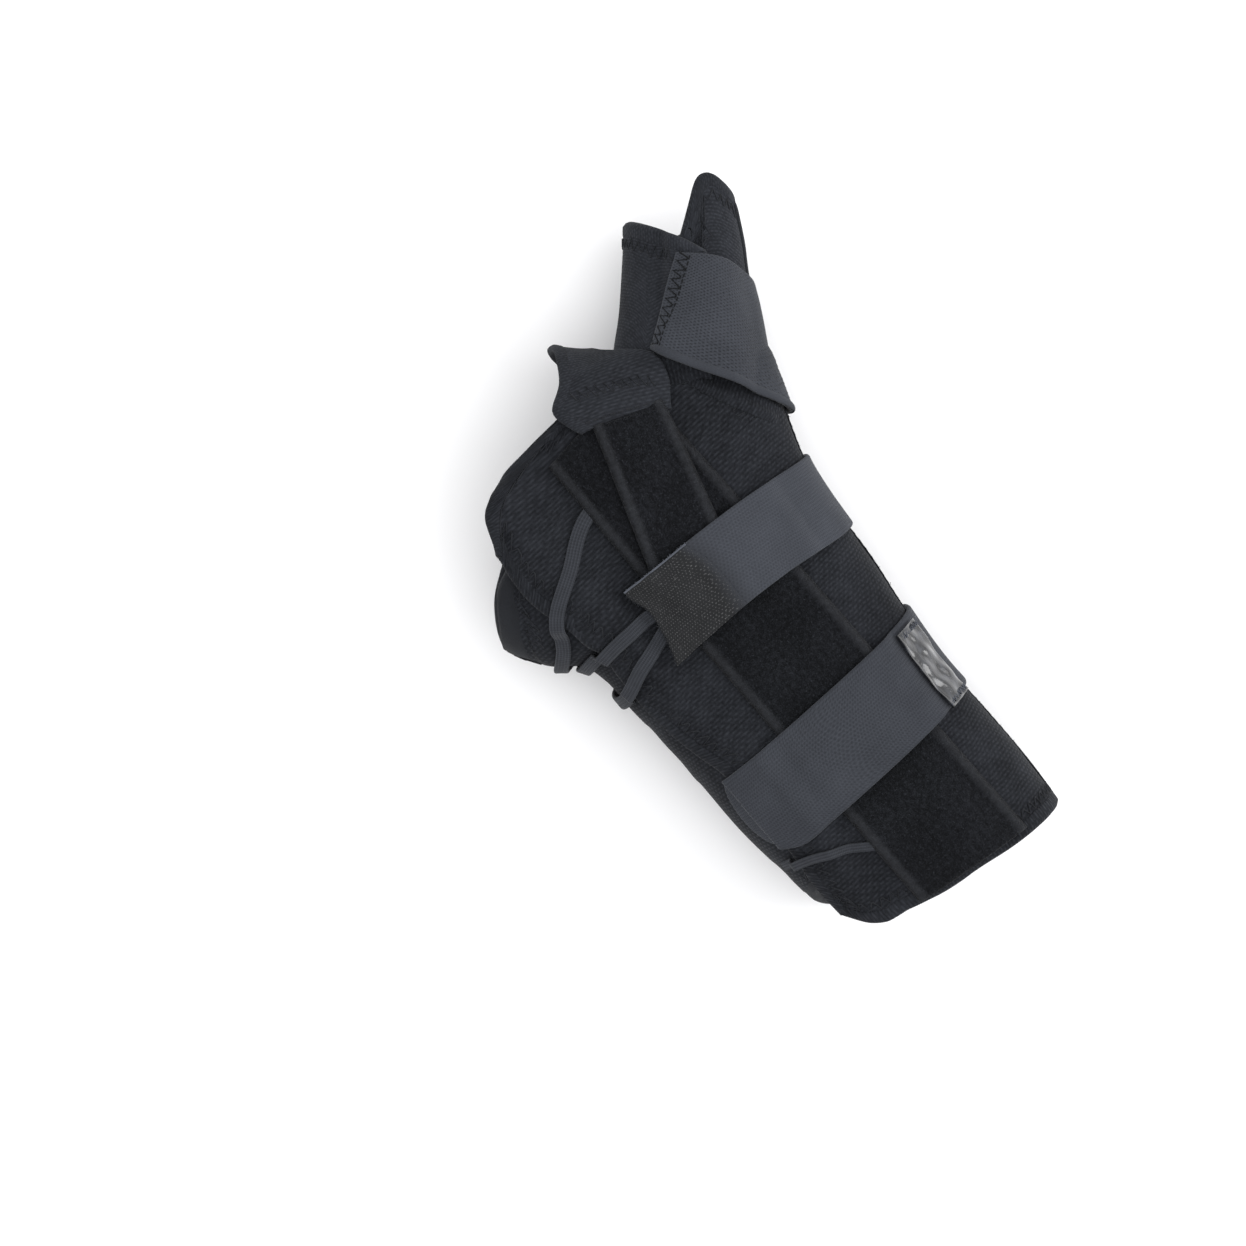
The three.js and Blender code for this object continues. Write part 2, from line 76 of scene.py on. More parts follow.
class Smooth:
    """Smooth columns through the rows of a table. A row starts with the place it stands at."""

    def __init__(self, rows):
        table = np.array(rows, float)
        self.knots = table[:, 0]
        self.values = table[:, 1:]

    def __call__(self, at):
        knots = self.knots
        t = np.clip(np.asarray(at, float), knots[0], knots[-1])
        i = np.clip(np.searchsorted(knots, t, side="right"), 1, len(knots) - 1)
        start, end = knots[i - 1], knots[i]
        first, last = i < 2, i + 1 >= len(knots)
        before = np.where(first, i, i - 2)
        after = np.where(last, i - 1, np.minimum(i + 1, len(knots) - 1))
        half = (end - start) / 2
        lead = half / (start - knots[before])
        trail = half / (knots[after] - end)
        p = (t - start) / (end - start)
        shares = (
            (before, -lead * p**3 + 2 * lead * p**2 - lead * p),
            (i - 1, (1 + lead) * p**3 - (1.5 + 2 * lead) * p**2 + (lead - 0.5) * p + 1),
            (i, -(1 + trail) * p**3 + (1.5 + trail) * p**2 + 0.5 * p),
            (after, trail * p**3 - trail * p**2),
        )
        return np.moveaxis(sum(self.values[k] * share[..., None] for k, share in shares), -1, 0)


def ramp(value, start, end):
    """A soft step from 0 at start to 1 at end."""
    t = np.clip((value - start) / (end - start), 0, 1)
    return t * t * (3 - 2 * t)


def lerp(start, end, share):
    return start + (end - start) * share


def unit(vector):
    return vector / np.linalg.norm(vector, axis=-1, keepdims=True)


def run_along(points):
    """Distance along a line of points, at each of them."""
    return np.concatenate([[0], np.cumsum(np.linalg.norm(np.diff(points, axis=0), axis=-1))])


def bisect(low, high, test, rounds=20):
    """Closes in on the place between low, where a test holds, and high, where it doesn't."""
    for _ in range(rounds):
        middle = (low + high) / 2
        holds = test(middle)
        low, high = np.where(holds, middle, low), np.where(holds, high, middle)
    return low, high


# share of LENGTH; little, thumb as shares of WRIST_WIDTH; low, high as shares of WRIST_DEPTH
hollow = Smooth([
    (-0.5, -0.863, 0.014, 0.276, 0.871), (-0.44, -0.842, 0.123, 0.217, 0.9),
    (-0.4, -0.829, 0.247, 0.181, 0.914), (-0.37, -0.815, 0.425, 0.145, 0.926),
    (-0.34, -0.795, 0.589, 0.121, 0.938), (-0.31, -0.774, 0.685, 0.093, 0.948),
    (-0.275, -0.753, 0.701, 0.067, 0.957), (-0.235, -0.733, 0.666, 0.038, 0.967),
    (-0.19, -0.705, 0.619, 0.002, 0.976), (-0.15, -0.644, 0.575, -0.026, 0.983),
    (-0.115, -0.545, 0.542, -0.038, 0.988), (-0.07, -0.507, 0.518, -0.043, 0.993),
    (-0.01, -0.507, 0.499, -0.043, 1.002), (0.05, -0.501, 0.484, -0.043, 1.019),
    (0.13, -0.501, 0.449, -0.043, 1.052), (0.225, -0.507, 0.419, -0.043, 1.086),
    (0.33, -0.484, 0.418, -0.043, 1.114), (0.42, -0.455, 0.411, -0.043, 1.133),
    (0.505, -0.425, 0.39, -0.038, 1.145),
])


def section(x):
    """Middle and half sizes of the arm's section: across, upright, half width, half height."""
    little, thumb, low, high = hollow(x / LENGTH)
    across, half_width = (thumb + little) / 2 * WRIST_WIDTH, (thumb - little) / 2 * WRIST_WIDTH
    upright, half_height = (high + low) / 2 * WRIST_DEPTH, (high - low) / 2 * WRIST_DEPTH
    return across, STACK + upright, half_width, half_height


def bulge(value):
    return np.sign(value) * np.abs(value) ** (2 / SQUARENESS)


def on_skin(x, turn):
    """A point of the hollow. turn is in degrees from the back of the hand towards the thumb."""
    across, upright, half_width, half_height = section(x)
    angle = np.radians(turn)
    y = across + half_width * bulge(np.sin(angle))
    z = upright + half_height * bulge(np.cos(angle))
    return np.stack(np.broadcast_arrays(x, y, z), -1)


def on_arm(x, turn, height):
    """A point at a height over the hollow, on the flat line it rests on if it would lie lower."""
    x, turn, height = np.broadcast_arrays(*(np.asarray(v, float) for v in (x, turn, height)))
    along = on_skin(x + 0.5, turn) - on_skin(x - 0.5, turn)
    around = on_skin(x, turn + 1) - on_skin(x, turn - 1)
    point = on_skin(x, turn) + unit(np.cross(along, around)) * height[..., None]
    point[..., 2] = np.maximum(point[..., 2], STACK - height)
    return point


def outside(point):
    """How far a point lies outside the hollow."""

    def reach(x, y, z):
        across, upright, half_width, half_height = section(x)
        side = np.abs((y - across) / half_width) ** SQUARENESS
        rise = np.abs((z - upright) / half_height) ** SQUARENESS
        return (side + rise) ** (1 / SQUARENESS) - 1

    x, y, z = np.moveaxis(point, -1, 0)
    slope = (
        reach(x + 0.5, y, z) - reach(x - 0.5, y, z),
        reach(x, y + 0.5, z) - reach(x, y - 0.5, z),
        reach(x, y, z + 0.5) - reach(x, y, z - 0.5),
    )
    return reach(x, y, z) / np.linalg.norm(slope, axis=0)


def turn_at(x, y, height):
    """The turn at which the back of the arm reaches a given y."""
    x, y = np.broadcast_arrays(x, y)
    low, high = np.full(x.shape, -100.0), np.full(x.shape, 100.0)
    return bisect(low, high, lambda turn: on_arm(x, turn, height)[..., 1] < y)[0]


ROOT = np.array([-0.3315 * LENGTH, 0.54 * WRIST_WIDTH, STACK + 0.514 * WRIST_DEPTH])
TIPWARD = unit(np.array([-0.79, 0.615, -0.05]))
OUTWARD = unit(np.array([0.615, 0.79, 0]))
BACKWARD = unit(np.cross(OUTWARD, TIPWARD))

# share of THUMB_LENGTH; web, outer, back as shares of THUMB_WIDTH
thumb_hollow = Smooth([
    (-0.4, 0.54, 0.51, 0.47), (0, 0.53, 0.472, 0.467), (0.25, 0.461, 0.433, 0.417),
    (0.42, 0.428, 0.394, 0.394), (0.62, 0.394, 0.378, 0.372), (0.84, 0.367, 0.344, 0.356),
    (1.04, 0.356, 0.328, 0.344),
])


def on_thumb(s, phi, height):
    """A point by the thumb: s from root to tip, phi in degrees from its back to its outer side."""
    web, outer, back = thumb_hollow(s / THUMB_LENGTH) * THUMB_WIDTH
    sine, cosine = np.sin(np.radians(phi)), np.cos(np.radians(phi))
    out_side, out_rise = sine * back, cosine * (outer + web) / 2
    reach = height / np.hypot(out_side, out_rise)
    side = (outer - web) / 2 + (outer + web) / 2 * sine + out_side * reach
    rise = back * cosine + out_rise * reach
    s, side, rise = np.broadcast_arrays(s, side, rise)
    return ROOT + s[..., None] * TIPWARD + side[..., None] * OUTWARD + rise[..., None] * BACKWARD


def by_thumb(point):
    """Where a point lies by the thumb: along it, to its outer side, and how far outside it."""
    s, side, rise = ((point - ROOT) @ axis for axis in (TIPWARD, OUTWARD, BACKWARD))
    web, outer, back = thumb_hollow(s / THUMB_LENGTH) * THUMB_WIDTH
    across = side - (outer - web) / 2
    reach = np.maximum(np.hypot(across / ((outer + web) / 2), rise / back), 1e-6)
    return s, side, np.hypot(across, rise) * (reach - 1) / reach


# side as a share of THUMB_WIDTH; the sleeve's seam as a share of THUMB_LENGTH
thumb_seam = Smooth([
    (-0.7, -0.3), (-0.39, -0.21), (-0.22, -0.05), (-0.1, 0.0), (0.02, -0.035), (0.28, -0.145),
    (0.56, -0.255), (0.7, -0.31),
])


def seam_at(side):
    return thumb_seam(side / THUMB_WIDTH)[0] * THUMB_LENGTH


def meets_thumb(x, turn):
    met = np.zeros(np.broadcast(x, turn).shape, bool)
    for height in (0, WALL / 2, WALL):
        s, side, clear = by_thumb(on_arm(x, turn, height))
        met |= (s > seam_at(side) - 2 * SEAM) & (clear < SLEEVE_WALL + SEAM)
    return met


def clear_turn(x, start, end):
    """The last turn, from start towards end, at which a panel stays clear of the thumb's pieces."""
    steps = 90  # of the search, before it closes in
    clear, met = np.full(x.shape, float(end)), np.full(x.shape, float(end))
    going = np.ones(x.shape, bool)
    for step in range(steps):
        here, ahead = lerp(start, end, step / steps), lerp(start, end, (step + 1) / steps)
        hit = going & meets_thumb(x, ahead)
        clear[hit], met[hit] = here, ahead
        going &= ~hit
    clear, _ = bisect(clear, met, lambda turn: ~meets_thumb(x, turn), 12)
    return np.where(going, end, clear)


class Patch:
    """A panel between four edges, each giving x and turn."""

    def __init__(self, start, end, distal, proximal):
        self.edges = (start, end, distal, proximal)
        ends = np.array([0.0, 1.0])
        self.corners = [[np.array(edge(a)) for a in ends] for edge in (start, end)]

    def __call__(self, a, b):
        start, end, distal, proximal = self.edges
        low, high = np.array(start(a)), np.array(end(a))
        near, far = np.array(distal(b)), np.array(proximal(b))
        shape = [2] + [1] * np.broadcast(a, b).ndim
        corners = ([corner.reshape(shape) for corner in pair] for pair in self.corners)
        (low_near, low_far), (high_near, high_far) = corners
        blend = (1 - b) * low + b * high + (1 - a) * near + a * far
        blend = blend - (1 - b) * ((1 - a) * low_near + a * low_far)
        return blend - b * ((1 - a) * high_near + a * high_far)


def thumb_edge(start_x, end_x, first, start_turn, end_turn):
    """An edge that stops short of the thumb: stations worked out once and read in between."""
    share = np.linspace(0, 1, 401)
    x = lerp(start_x, end_x, share) * LENGTH
    turn = clear_turn(x, start_turn, end_turn)
    turn[0] = first
    return lambda a: (np.interp(a, share, x), np.interp(a, share, turn))


# share of LENGTH; turn of the back panel's edge on the little-finger side
back_little = Smooth([
    (-0.5, -30), (-0.31, -35.5), (-0.27, -39.5), (-0.225, -41), (-0.19, -40), (-0.165, -40.5),
    (-0.133, -46), (-0.077, -56), (-0.016, -57.5), (0.04, -56.5), (0.092, -52), (0.125, -48),
    (0.2, -46.5), (0.27, -48), (0.335, -54), (0.4, -57),
])


def little_edge(x):
    return back_little(x / LENGTH)[0]


def lift(x, turn):
    """The back panel's edge rides up over the palm panel's edge on the little-finger side."""
    edge = little_edge(x)
    return OVER_BACK * ramp(turn, edge + 28, edge + 17)


def along_edge(rows):
    """An edge from rows of its share, the share of LENGTH and the turn."""
    table = Smooth(rows)

    def edge(b):
        x, turn = table(b)
        return x * LENGTH, turn

    return edge


def little_side(start, end, inset):
    """An edge along the little-finger side, some degrees in from the back panel's."""

    def edge(a):
        x = lerp(start, end, a) * LENGTH
        return x, little_edge(x) + inset

    return edge


back_patch = Patch(
    little_side(-0.31, 0.385, 0),
    thumb_edge(-0.392, 0.492, 42, 30, 95),
    along_edge([
        (0, -0.31, -35.5), (0.18, -0.357, -23), (0.38, -0.38, -7), (0.55, -0.386, 4),
        (0.8, -0.388, 24), (1, -0.392, 42),
    ]),
    along_edge([
        (0, 0.385, -56.8), (0.1, 0.42, -46), (0.34, 0.449, -15), (0.5, 0.459, 2),
        (0.7, 0.473, 28), (1, 0.492, 95),
    ]),
)
palm_patch = Patch(
    thumb_edge(-0.4, 0.49, -250, -200, -264),
    little_side(-0.29, 0.34, 12),
    along_edge([
        (0, -0.4, -250), (0.15, -0.39, -222), (0.36, -0.345, -180), (0.6, -0.262, -130),
        (0.78, -0.205, -92), (0.88, -0.226, -69), (0.95, -0.275, -46), (1, -0.29, -26),
    ]),
    along_edge([
        (0, 0.49, -264), (0.3, 0.475, -215), (0.52, 0.455, -165), (0.72, 0.405, -115),
        (0.86, 0.352, -78), (1, 0.34, -42),
    ]),
)


def back_shape(a, b, height):
    x, turn = back_patch(a, b)
    return on_arm(x, turn, lift(x, turn) + height)


def palm_shape(a, b, height):
    return on_arm(*palm_patch(a, b), height)


# a; little x, little y, thumb x, thumb y
loop_edges = Smooth([
    (0, -0.351, -0.171, -0.364, 0.292), (0.25, -0.156, -0.19, -0.156, 0.289),
    (0.5, 0.044, -0.198, 0.052, 0.283), (0.75, 0.244, -0.213, 0.26, 0.27),
    (1, 0.442, -0.224, 0.466, 0.262),
])


def loop_shape(a, b, height):
    little_x, little_y, thumb_x, thumb_y = loop_edges(a)
    x, y = lerp(little_x, thumb_x, b) * LENGTH, lerp(little_y, thumb_y, b) * WRIST_WIDTH
    turn = turn_at(x, y, OVER_BACK)
    return on_arm(x, turn, lift(x, turn) + OVER_BACK + GAP + height)


# a; little x, little turn, thumb x, thumb turn, layers of strap that it lies on
web_edges = Smooth([
    (0, -0.36, 160, -0.325, 156, 0), (0.12, -0.405, 132, -0.37, 126, 0),
    (0.26, -0.4525, 100, -0.405, 92, 0), (0.38, -0.436, 62, -0.386, 64.5, 0.45),
    (0.46, -0.408, 40, -0.358, 49.5, 1.05), (0.54, -0.3835, 23.6, -0.333, 33, 1.1),
    (0.62, -0.3425, 11.7, -0.304, 21.3, 1.1), (0.82, -0.22, 1, -0.19, 16, 1.1),
    (1, -0.128, -5, -0.105, 10, 1.1),
])


def web_shape(a, b, height):
    little_x, little_turn, thumb_x, thumb_turn, over = web_edges(a)
    x, turn = lerp(little_x, thumb_x, b) * LENGTH, lerp(little_turn, thumb_turn, b)
    return on_arm(x, turn, OVER_BACK + over * LAYER + height)


# turn; share of LENGTH that the wrist strap runs along, its width as a share of its own
wrist_path = Smooth([
    (-34, -0.095, 1.09), (2, -0.09, 0.96), (63, -0.065, 0.976), (120, -0.06, 0.96),
    (240, -0.049, 0.944),
])


WRIST_RUN = (-34, 240)  # turns that the table covers
UNDERLAP = 238  # turn at which the straps end under the palm


def wrist_edges(turn):
    middle, spread = wrist_path(turn)
    half = spread * WRIST_STRAP_WIDTH / 2
    return middle * LENGTH - half, middle * LENGTH + half


def wrist_band(start, end):
    """A part of the wrist strap, raised over the web strap and over the loop panel."""

    def shape(a, b, height):
        turn = lerp(start(a), end, b)
        near, far = wrist_edges(turn)
        x = lerp(near, far, a)
        rise = 1.3 * ramp(turn, 46, 34) * ramp(turn, -62, -40)
        rise = rise + 1.1 * ramp(turn, -16, -8) * ramp(turn, 24, 14)
        return on_arm(x, turn, lift(x, turn) + OVER_BACK + rise * LAYER + height)

    return shape


def tab_end(a):
    """The hook tab's slanted end."""
    return lerp(-16.5, -29, a)


wrist_shape = wrist_band(lambda a: 2.1, UNDERLAP)
hook_shape = wrist_band(tab_end, 2.6)


FOREARM_MIDDLE = 0.206 * LENGTH


def forearm_shape(a, b, height):
    """The forearm strap, from its rounded end sewn to the back panel's little-finger edge."""
    x = FOREARM_MIDDLE + (a - 0.5) * FOREARM_STRAP_WIDTH
    rounded = 13 * np.clip(1 - (2 * a - 1) ** 2, 0, 1) ** 0.5
    turn = lerp(little_edge(x) - 2.5 - rounded, UNDERLAP, b)
    x = x - 3.6 * a**2 * ramp(b, 0.06, 0)
    tuck = OVER_BACK * ramp(turn, little_edge(x) - 1, little_edge(x) - 7)
    rise = 1.25 * ramp(turn, -32, -20) * ramp(turn, 48, 36)
    return on_arm(x, turn, lift(x, turn) - tuck + OVER_BACK + rise * LAYER + height)


def tab_shape(a, b, height):
    x, turn = FOREARM_MIDDLE + 1 + (a - 0.5) * TAB_LENGTH, lerp(46, 64, b)
    return on_arm(x, turn, OVER_BACK + LAYER + GAP + height)


def lace_shape(width, rows):
    """A flat lace along its own path, lying over the panels."""
    path = Smooth(rows)

    def at(share, more):
        station, turn = path(share)
        x = station * LENGTH
        tuck = ramp(turn, little_edge(x) - 8, little_edge(x) - 1.5)
        return on_arm(x, turn, OVER_BACK + 2 * GAP + lift(x, turn) * tuck + more)

    def shape(a, b, height):
        a, b, height = np.broadcast_arrays(a, b, height)
        along, up = at(a + 0.02, 0) - at(a, 0), at(a, LACE) - at(a, 0)
        side = unit(np.cross(up, along))
        return at(a, height) + side * ((b - 0.5) * width)[..., None]

    return shape


# lace: its width and length, then share along it; share of LENGTH, turn
LACES = {
    "lace_1": (LACE_WIDTH, 80, [
        (0, -0.2705, -5), (0.06, -0.262, -10.5), (0.25, -0.225, -23), (0.45, -0.195, -37),
        (0.65, -0.155, -54), (0.8, -0.142, -75), (1.02, -0.131, -118),
    ]),
    "lace_2": (LACE_WIDTH, 60, [
        (0, -0.104, -19.5), (0.3, -0.112, -35), (0.6, -0.117, -58), (0.8, -0.112, -80),
        (1.02, -0.1, -118),
    ]),
    "lace_3": (LACE_WIDTH, 60, [
        (0, -0.078, -21), (0.3, -0.058, -42), (0.6, -0.035, -62), (0.8, -0.03, -84),
        (1.02, -0.035, -118),
    ]),
    "lace_4": (THIN_LACE_WIDTH, 35, [
        (0, 0.341, -16.5), (0.35, 0.305, -34), (0.65, 0.291, -47), (1.02, 0.286, -66),
    ]),
}


def thumb_base(phi, height):
    """Where the thumb's pieces start, so that they clear the panels."""
    phi, height = np.broadcast_arrays(np.asarray(phi, float), height)

    def short(s):
        point = on_thumb(s, phi, height)
        return (s <= seam_at(by_thumb(point)[1])) | (outside(point) <= GAP)

    low, high = np.full(phi.shape, -0.4 * THUMB_LENGTH), np.full(phi.shape, 0.5 * THUMB_LENGTH)
    return bisect(low, high, short)[1]


# phi; share of THUMB_LENGTH that each half of the sleeve reaches up to
flap_top = Smooth([(-177, 0.68), (-130, 0.74), (-90, 0.77), (-50, 0.74), (-8, 0.645), (16, 0.55)])
stay_top = Smooth([
    (-6, 0.64), (8, 0.84), (18, 0.97), (32, 1.01), (55, 0.96), (90, 0.87), (130, 0.78),
    (181, 0.69),
])


def thumb_shape(start, end, top, rise):
    """Half of the thumb sleeve, between two turns round the thumb, raised over the other half."""

    def shape(a, b, height):
        phi = lerp(start, end, b)
        level = rise(phi) + height
        s = lerp(top(phi)[0] * THUMB_LENGTH, thumb_base(phi, level), a)
        return on_thumb(s, phi, level)

    return shape


flap_shape = thumb_shape(-177, 14, flap_top, lambda phi: OVER_SLEEVE * ramp(phi, -26, -12))
stay_shape = thumb_shape(-6, 181.6, stay_top, lambda phi: 0 * phi)

# b; top phi, top, low phi, low as shares of THUMB_LENGTH
thumb_strap_edges = Smooth([
    (0, -10, 0.565, -32, 0.03), (0.2, 22, 0.53, 12, -0.155), (0.5, 90, 0.375, 90, -0.385),
    (0.8, 158, 0.34, 160, -0.3), (1, 205, 0.33, 205, -0.05),
])


def thumb_strap_shape(a, b, height):
    top_phi, top, low_phi, low = thumb_strap_edges(b)
    phi, s = lerp(top_phi, low_phi, a), lerp(top, low, a) * THUMB_LENGTH
    level = OVER_SLEEVE + OVER_SLEEVE * ramp(phi, -34, -18) * ramp(phi, 58, 16)
    for _ in range(90):
        level = level + GAP * (outside(on_thumb(s, phi, level)) < OVER_BACK + GAP)
    return on_thumb(s, phi, level + height)


# ---- Finishes ----


def sign(operation):
    """A sign's two methods: with the value before it, and with the value after it."""
    return (
        lambda self, other: self.work(operation, self, other),
        lambda self, other: self.work(operation, other, self),
    )


class Value:
    """A number in a material. Python's signs on it add the nodes that work it out."""

    __add__, __radd__ = sign("ADD")
    __sub__, __rsub__ = sign("SUBTRACT")
    __mul__, __rmul__ = sign("MULTIPLY")
    __truediv__, __rtruediv__ = sign("DIVIDE")

    def __init__(self, finish, socket):
        self.finish, self.socket = finish, socket

    def work(self, operation, *inputs):
        return self.finish.add("ShaderNodeMath", {"operation": operation}, dict(enumerate(inputs)))

    def floor(self):
        return self.work("FLOOR", self)

    def wave(self):
        """From 0 to 1 and back over each whole number."""
        return self.work("SINE", self * (2 * np.pi)) * 0.5 + 0.5

    def step(self, start, end):
        sockets = {"Value": self, "From Min": start, "From Max": end}
        settings = {"interpolation_type": "SMOOTHSTEP"}
        return self.finish.add("ShaderNodeMapRange", settings, sockets)


class Finish:
    """A material: a principled shader with what feeds it."""

    def __init__(self, name, **constants):
        self.material = bpy.data.materials.new(name)
        self.material.use_nodes = True
        self.tree = self.material.node_tree
        self.shader = self.tree.nodes["Principled BSDF"]
        for socket, value in constants.items():
            self.shader.inputs[socket.replace("_", " ")].default_value = value

    def add(self, kind, settings, sockets):
        """Adds a node with its settings, then its sockets' values or links."""
        node = self.tree.nodes.new(kind)
        for name, value in settings.items():
            setattr(node, name, value)
        for name, value in sockets.items():
            self.feed(node.inputs[name], value)
        return Value(self, node.outputs[0])

    def feed(self, socket, value):
        if isinstance(value, Value):
            self.tree.links.new(value.socket, socket)
        else:
            socket.default_value = value

    def cloth(self):
        """The piece's own map in millimetres: along and across the cloth, and both as a place."""
        place = self.add("ShaderNodeUVMap", {"uv_map": "cloth"}, {})
        first = self.add("ShaderNodeSeparateXYZ", {}, {"Vector": place})
        second = Value(self, first.socket.node.outputs[1])
        along, across = first * (1 / MM), second * (1 / MM)
        return along, across, self.place(along, across)

    def place(self, u, v):
        return self.add("ShaderNodeCombineXYZ", {}, {"X": u, "Y": v})

    def noise(self, vector, scale, detail=2.0, roughness=0.5):
        sockets = {"Vector": vector, "Scale": scale, "Detail": detail, "Roughness": roughness}
        return self.add("ShaderNodeTexNoise", {}, sockets)

    def cells(self, vector, scale, feature="F1"):
        sockets = {"Vector": vector, "Scale": scale}
        return self.add("ShaderNodeTexVoronoi", {"feature": feature}, sockets)

    def mix(self, share, first, second):
        node = self.tree.nodes.new("ShaderNodeMix")
        node.data_type = "RGBA"
        colour = [s for s in node.inputs if s.type == "RGBA"]
        self.feed(node.inputs[0], share)
        self.feed(colour[0], first)
        self.feed(colour[1], second)
        return Value(self, next(s for s in node.outputs if s.type == "RGBA"))

    def finish(self, colour, roughness, height, depth):
        """Colour, roughness and a relief of a depth in millimetres."""
        self.feed(self.shader.inputs["Base Color"], colour)
        self.feed(self.shader.inputs["Roughness"], roughness)
        sockets = {"Height": height, "Strength": 1.0, "Distance": depth * MM}
        bump = self.add("ShaderNodeBump", {}, sockets)
        self.feed(self.shader.inputs["Normal"], bump)
        return self.material


WEAVE_DEPTH = 0.14


def dyed(value, cool=0.08):
    """Black cloth's grey, a little blue."""
    return (value * (1 - cool), value, value * (1 + 2.6 * cool), 1)


def knit_finish(name, rib, dash, dark, light, depth):
    """Ribbed knit: rows of short stitches, each row set off against the next."""
    f = Finish(name, Specular_IOR_Level=0.08, Sheen_Weight=0.04, Sheen_Roughness=0.4)
    along, across, spot = f.cloth()
    drift = f.noise(spot, 0.12, 1.0) * 1.6
    rows = (along + drift) / rib
    ridge = rows.wave()
    stitch = (across / dash + rows.floor() * 0.5 + f.noise(spot, 0.5, 1.0) * 0.7).wave()
    loops = ridge * (0.25 + 0.75 * stitch)
    wear = f.noise(spot, 0.05, 3.0)
    patches = f.noise(spot, 0.35, 2.0)
    lint = f.noise(spot, 2.6, 1.0).step(0.7, 0.82)
    fine = f.noise(spot, 1.5, 2.0, 0.7)
    shade = loops * 0.28 + wear * 0.6 + patches * 0.35 + fine * 0.6 - 0.44
    shade = shade.step(0.0, 1.0) + lint * 0.2
    return f.finish(f.mix(shade, dyed(dark), dyed(light)), 0.96 - loops * 0.08, loops, depth)


def plush_finish(name, dark, light, edge, width):
    """Brushed loop pile, mottled where it leans apart, with a painted sheen highlight along its
    rolled edges.
    """
    f = Finish(name, Specular_IOR_Level=0.06, Sheen_Weight=0.05, Sheen_Roughness=0.4)
    along, across, spot = f.cloth()
    pile = f.noise(spot, 2.1, 3.0, 0.7)
    clumps = f.noise(spot, 0.7, 2.0)
    brushed = f.noise(spot, 0.06, 2.0)
    specks = f.noise(spot, 1.5, 2.0, 0.6).step(0.56, 0.74)
    shade = (pile * 0.8 + clumps * 0.5 + brushed * 0.35 - 0.45).step(0.2, 0.8)
    colour = f.mix(shade, dyed(dark), dyed(light))
    colour = f.mix(specks * 0.55, colour, dyed(light * 1.7))
    # Painted sheen highlight: the rolled edges are mixed towards the paler edge colour, varied by
    # the pile's noise
    sides = (across, width - across)
    near, far = (side.step(0.0, 1.4) * (1 - side.step(1.9, 3.6)) for side in sides)
    painted_ridge_sheen = (near + far) * (0.12 + clumps * 0.3 + brushed * 0.25)
    colour = f.mix(painted_ridge_sheen, colour, dyed(edge, 0.05))
    return f.finish(colour, 0.98, pile + clumps * 0.8, 0.8)


def elastic_finish(name, dark, light, start=None):
    """Woven elastic: fine ribs along the strap, crossed by rubber threads.

    start is the length, in millimetres, over which it begins dark.
    """
    f = Finish(name, Specular_IOR_Level=0.12, Sheen_Weight=0.08, Sheen_Roughness=0.35)
    along, across, spot = f.cloth()
    rows = across / 0.95
    ribs = (rows + f.noise(spot, 0.4, 1.0) * 0.5).wave()
    picks = (along / 0.8 + rows.floor() * 0.5).wave()
    weave = ribs * 0.5 + picks * 0.5
    wear = f.noise(spot, 0.07, 3.0)
    fuzz = f.noise(spot, 1.8, 3.0, 0.65)
    lint = f.noise(spot, 2.4, 1.0).step(0.68, 0.8)
    shade = (weave * 0.4 + wear * 0.5 + fuzz * 0.7 - 0.3).step(0.0, 1.0) + lint * 0.3
    colour = f.mix(shade, dyed(dark), dyed(light))
    if start:
        colour = f.mix((1 - along.step(0, start)) * (fuzz * 0.7), colour, dyed(0.014, 0.03))
    return f.finish(colour, 0.9, weave + fuzz * 0.7, WEAVE_DEPTH)


def mesh_finish(name, dark, light):
    """Open elastic mesh: diagonal rows of small holes."""
    f = Finish(name, Specular_IOR_Level=0.12, Sheen_Weight=0.08, Sheen_Roughness=0.35)
    along, across, spot = f.cloth()
    slant = across * 0.6
    first, second = ((row / 0.85).wave() for row in (along + slant, along - slant))
    holes = (first * second).step(0.35, 0.8)
    wear = f.noise(spot, 0.06, 3.0)
    fuzz = f.noise(spot, 1.6, 3.0, 0.65)
    shade = (wear * 0.6 + fuzz * 0.7 - holes * 0.28 - 0.03).step(0.0, 1.0)
    return f.finish(f.mix(shade, dyed(dark), dyed(light)), 0.9, fuzz - holes, WEAVE_DEPTH)


def hook_finish(name):
    """Hook tape seen from its back: a dark weave, densely flecked with pale yarn."""
    f = Finish(name, Specular_IOR_Level=0.1)
    along, across, spot = f.cloth()
    rows = across / 0.85
    slant = (along + rows.floor() * 0.5 + f.noise(spot, 0.6, 1.0) * 0.8).wave()
    yarn = (slant * rows.wave()).step(0.3, 0.85)
    lit = f.noise(spot, 0.7, 2.0).step(0.35, 0.62)
    grains = f.cells(spot, 1.25).step(0.28, 0.05)
    dots = yarn * (0.25 + lit * 0.45) + grains * (0.2 + lit * 0.5)
    wear = f.noise(spot, 0.12, 2.0)
    base = f.mix(wear, dyed(0.010, 0.03), dyed(0.022, 0.03))
    colour = f.mix(dots * 0.9, base, dyed(0.095, 0.01))
    colour = f.mix(along.step(22.5, 26.8) * 0.8, colour, dyed(0.04))  # where the elastic begins
    return f.finish(colour, 0.85, yarn, 0.2)


def lace_finish(name):
    """Flat elastic lace with ribs along it."""
    f = Finish(name, Specular_IOR_Level=0.12, Sheen_Weight=0.05)
    along, across, spot = f.cloth()
    ribs = (across / 0.85).wave()
    picks = (along / 0.7).wave()
    shade = ribs * 0.4 + picks * 0.2 + f.noise(spot, 0.3, 2.0) * 0.5
    return f.finish(f.mix(shade, dyed(0.014), dyed(0.042)), 0.85, ribs + picks * 0.3, 0.2)


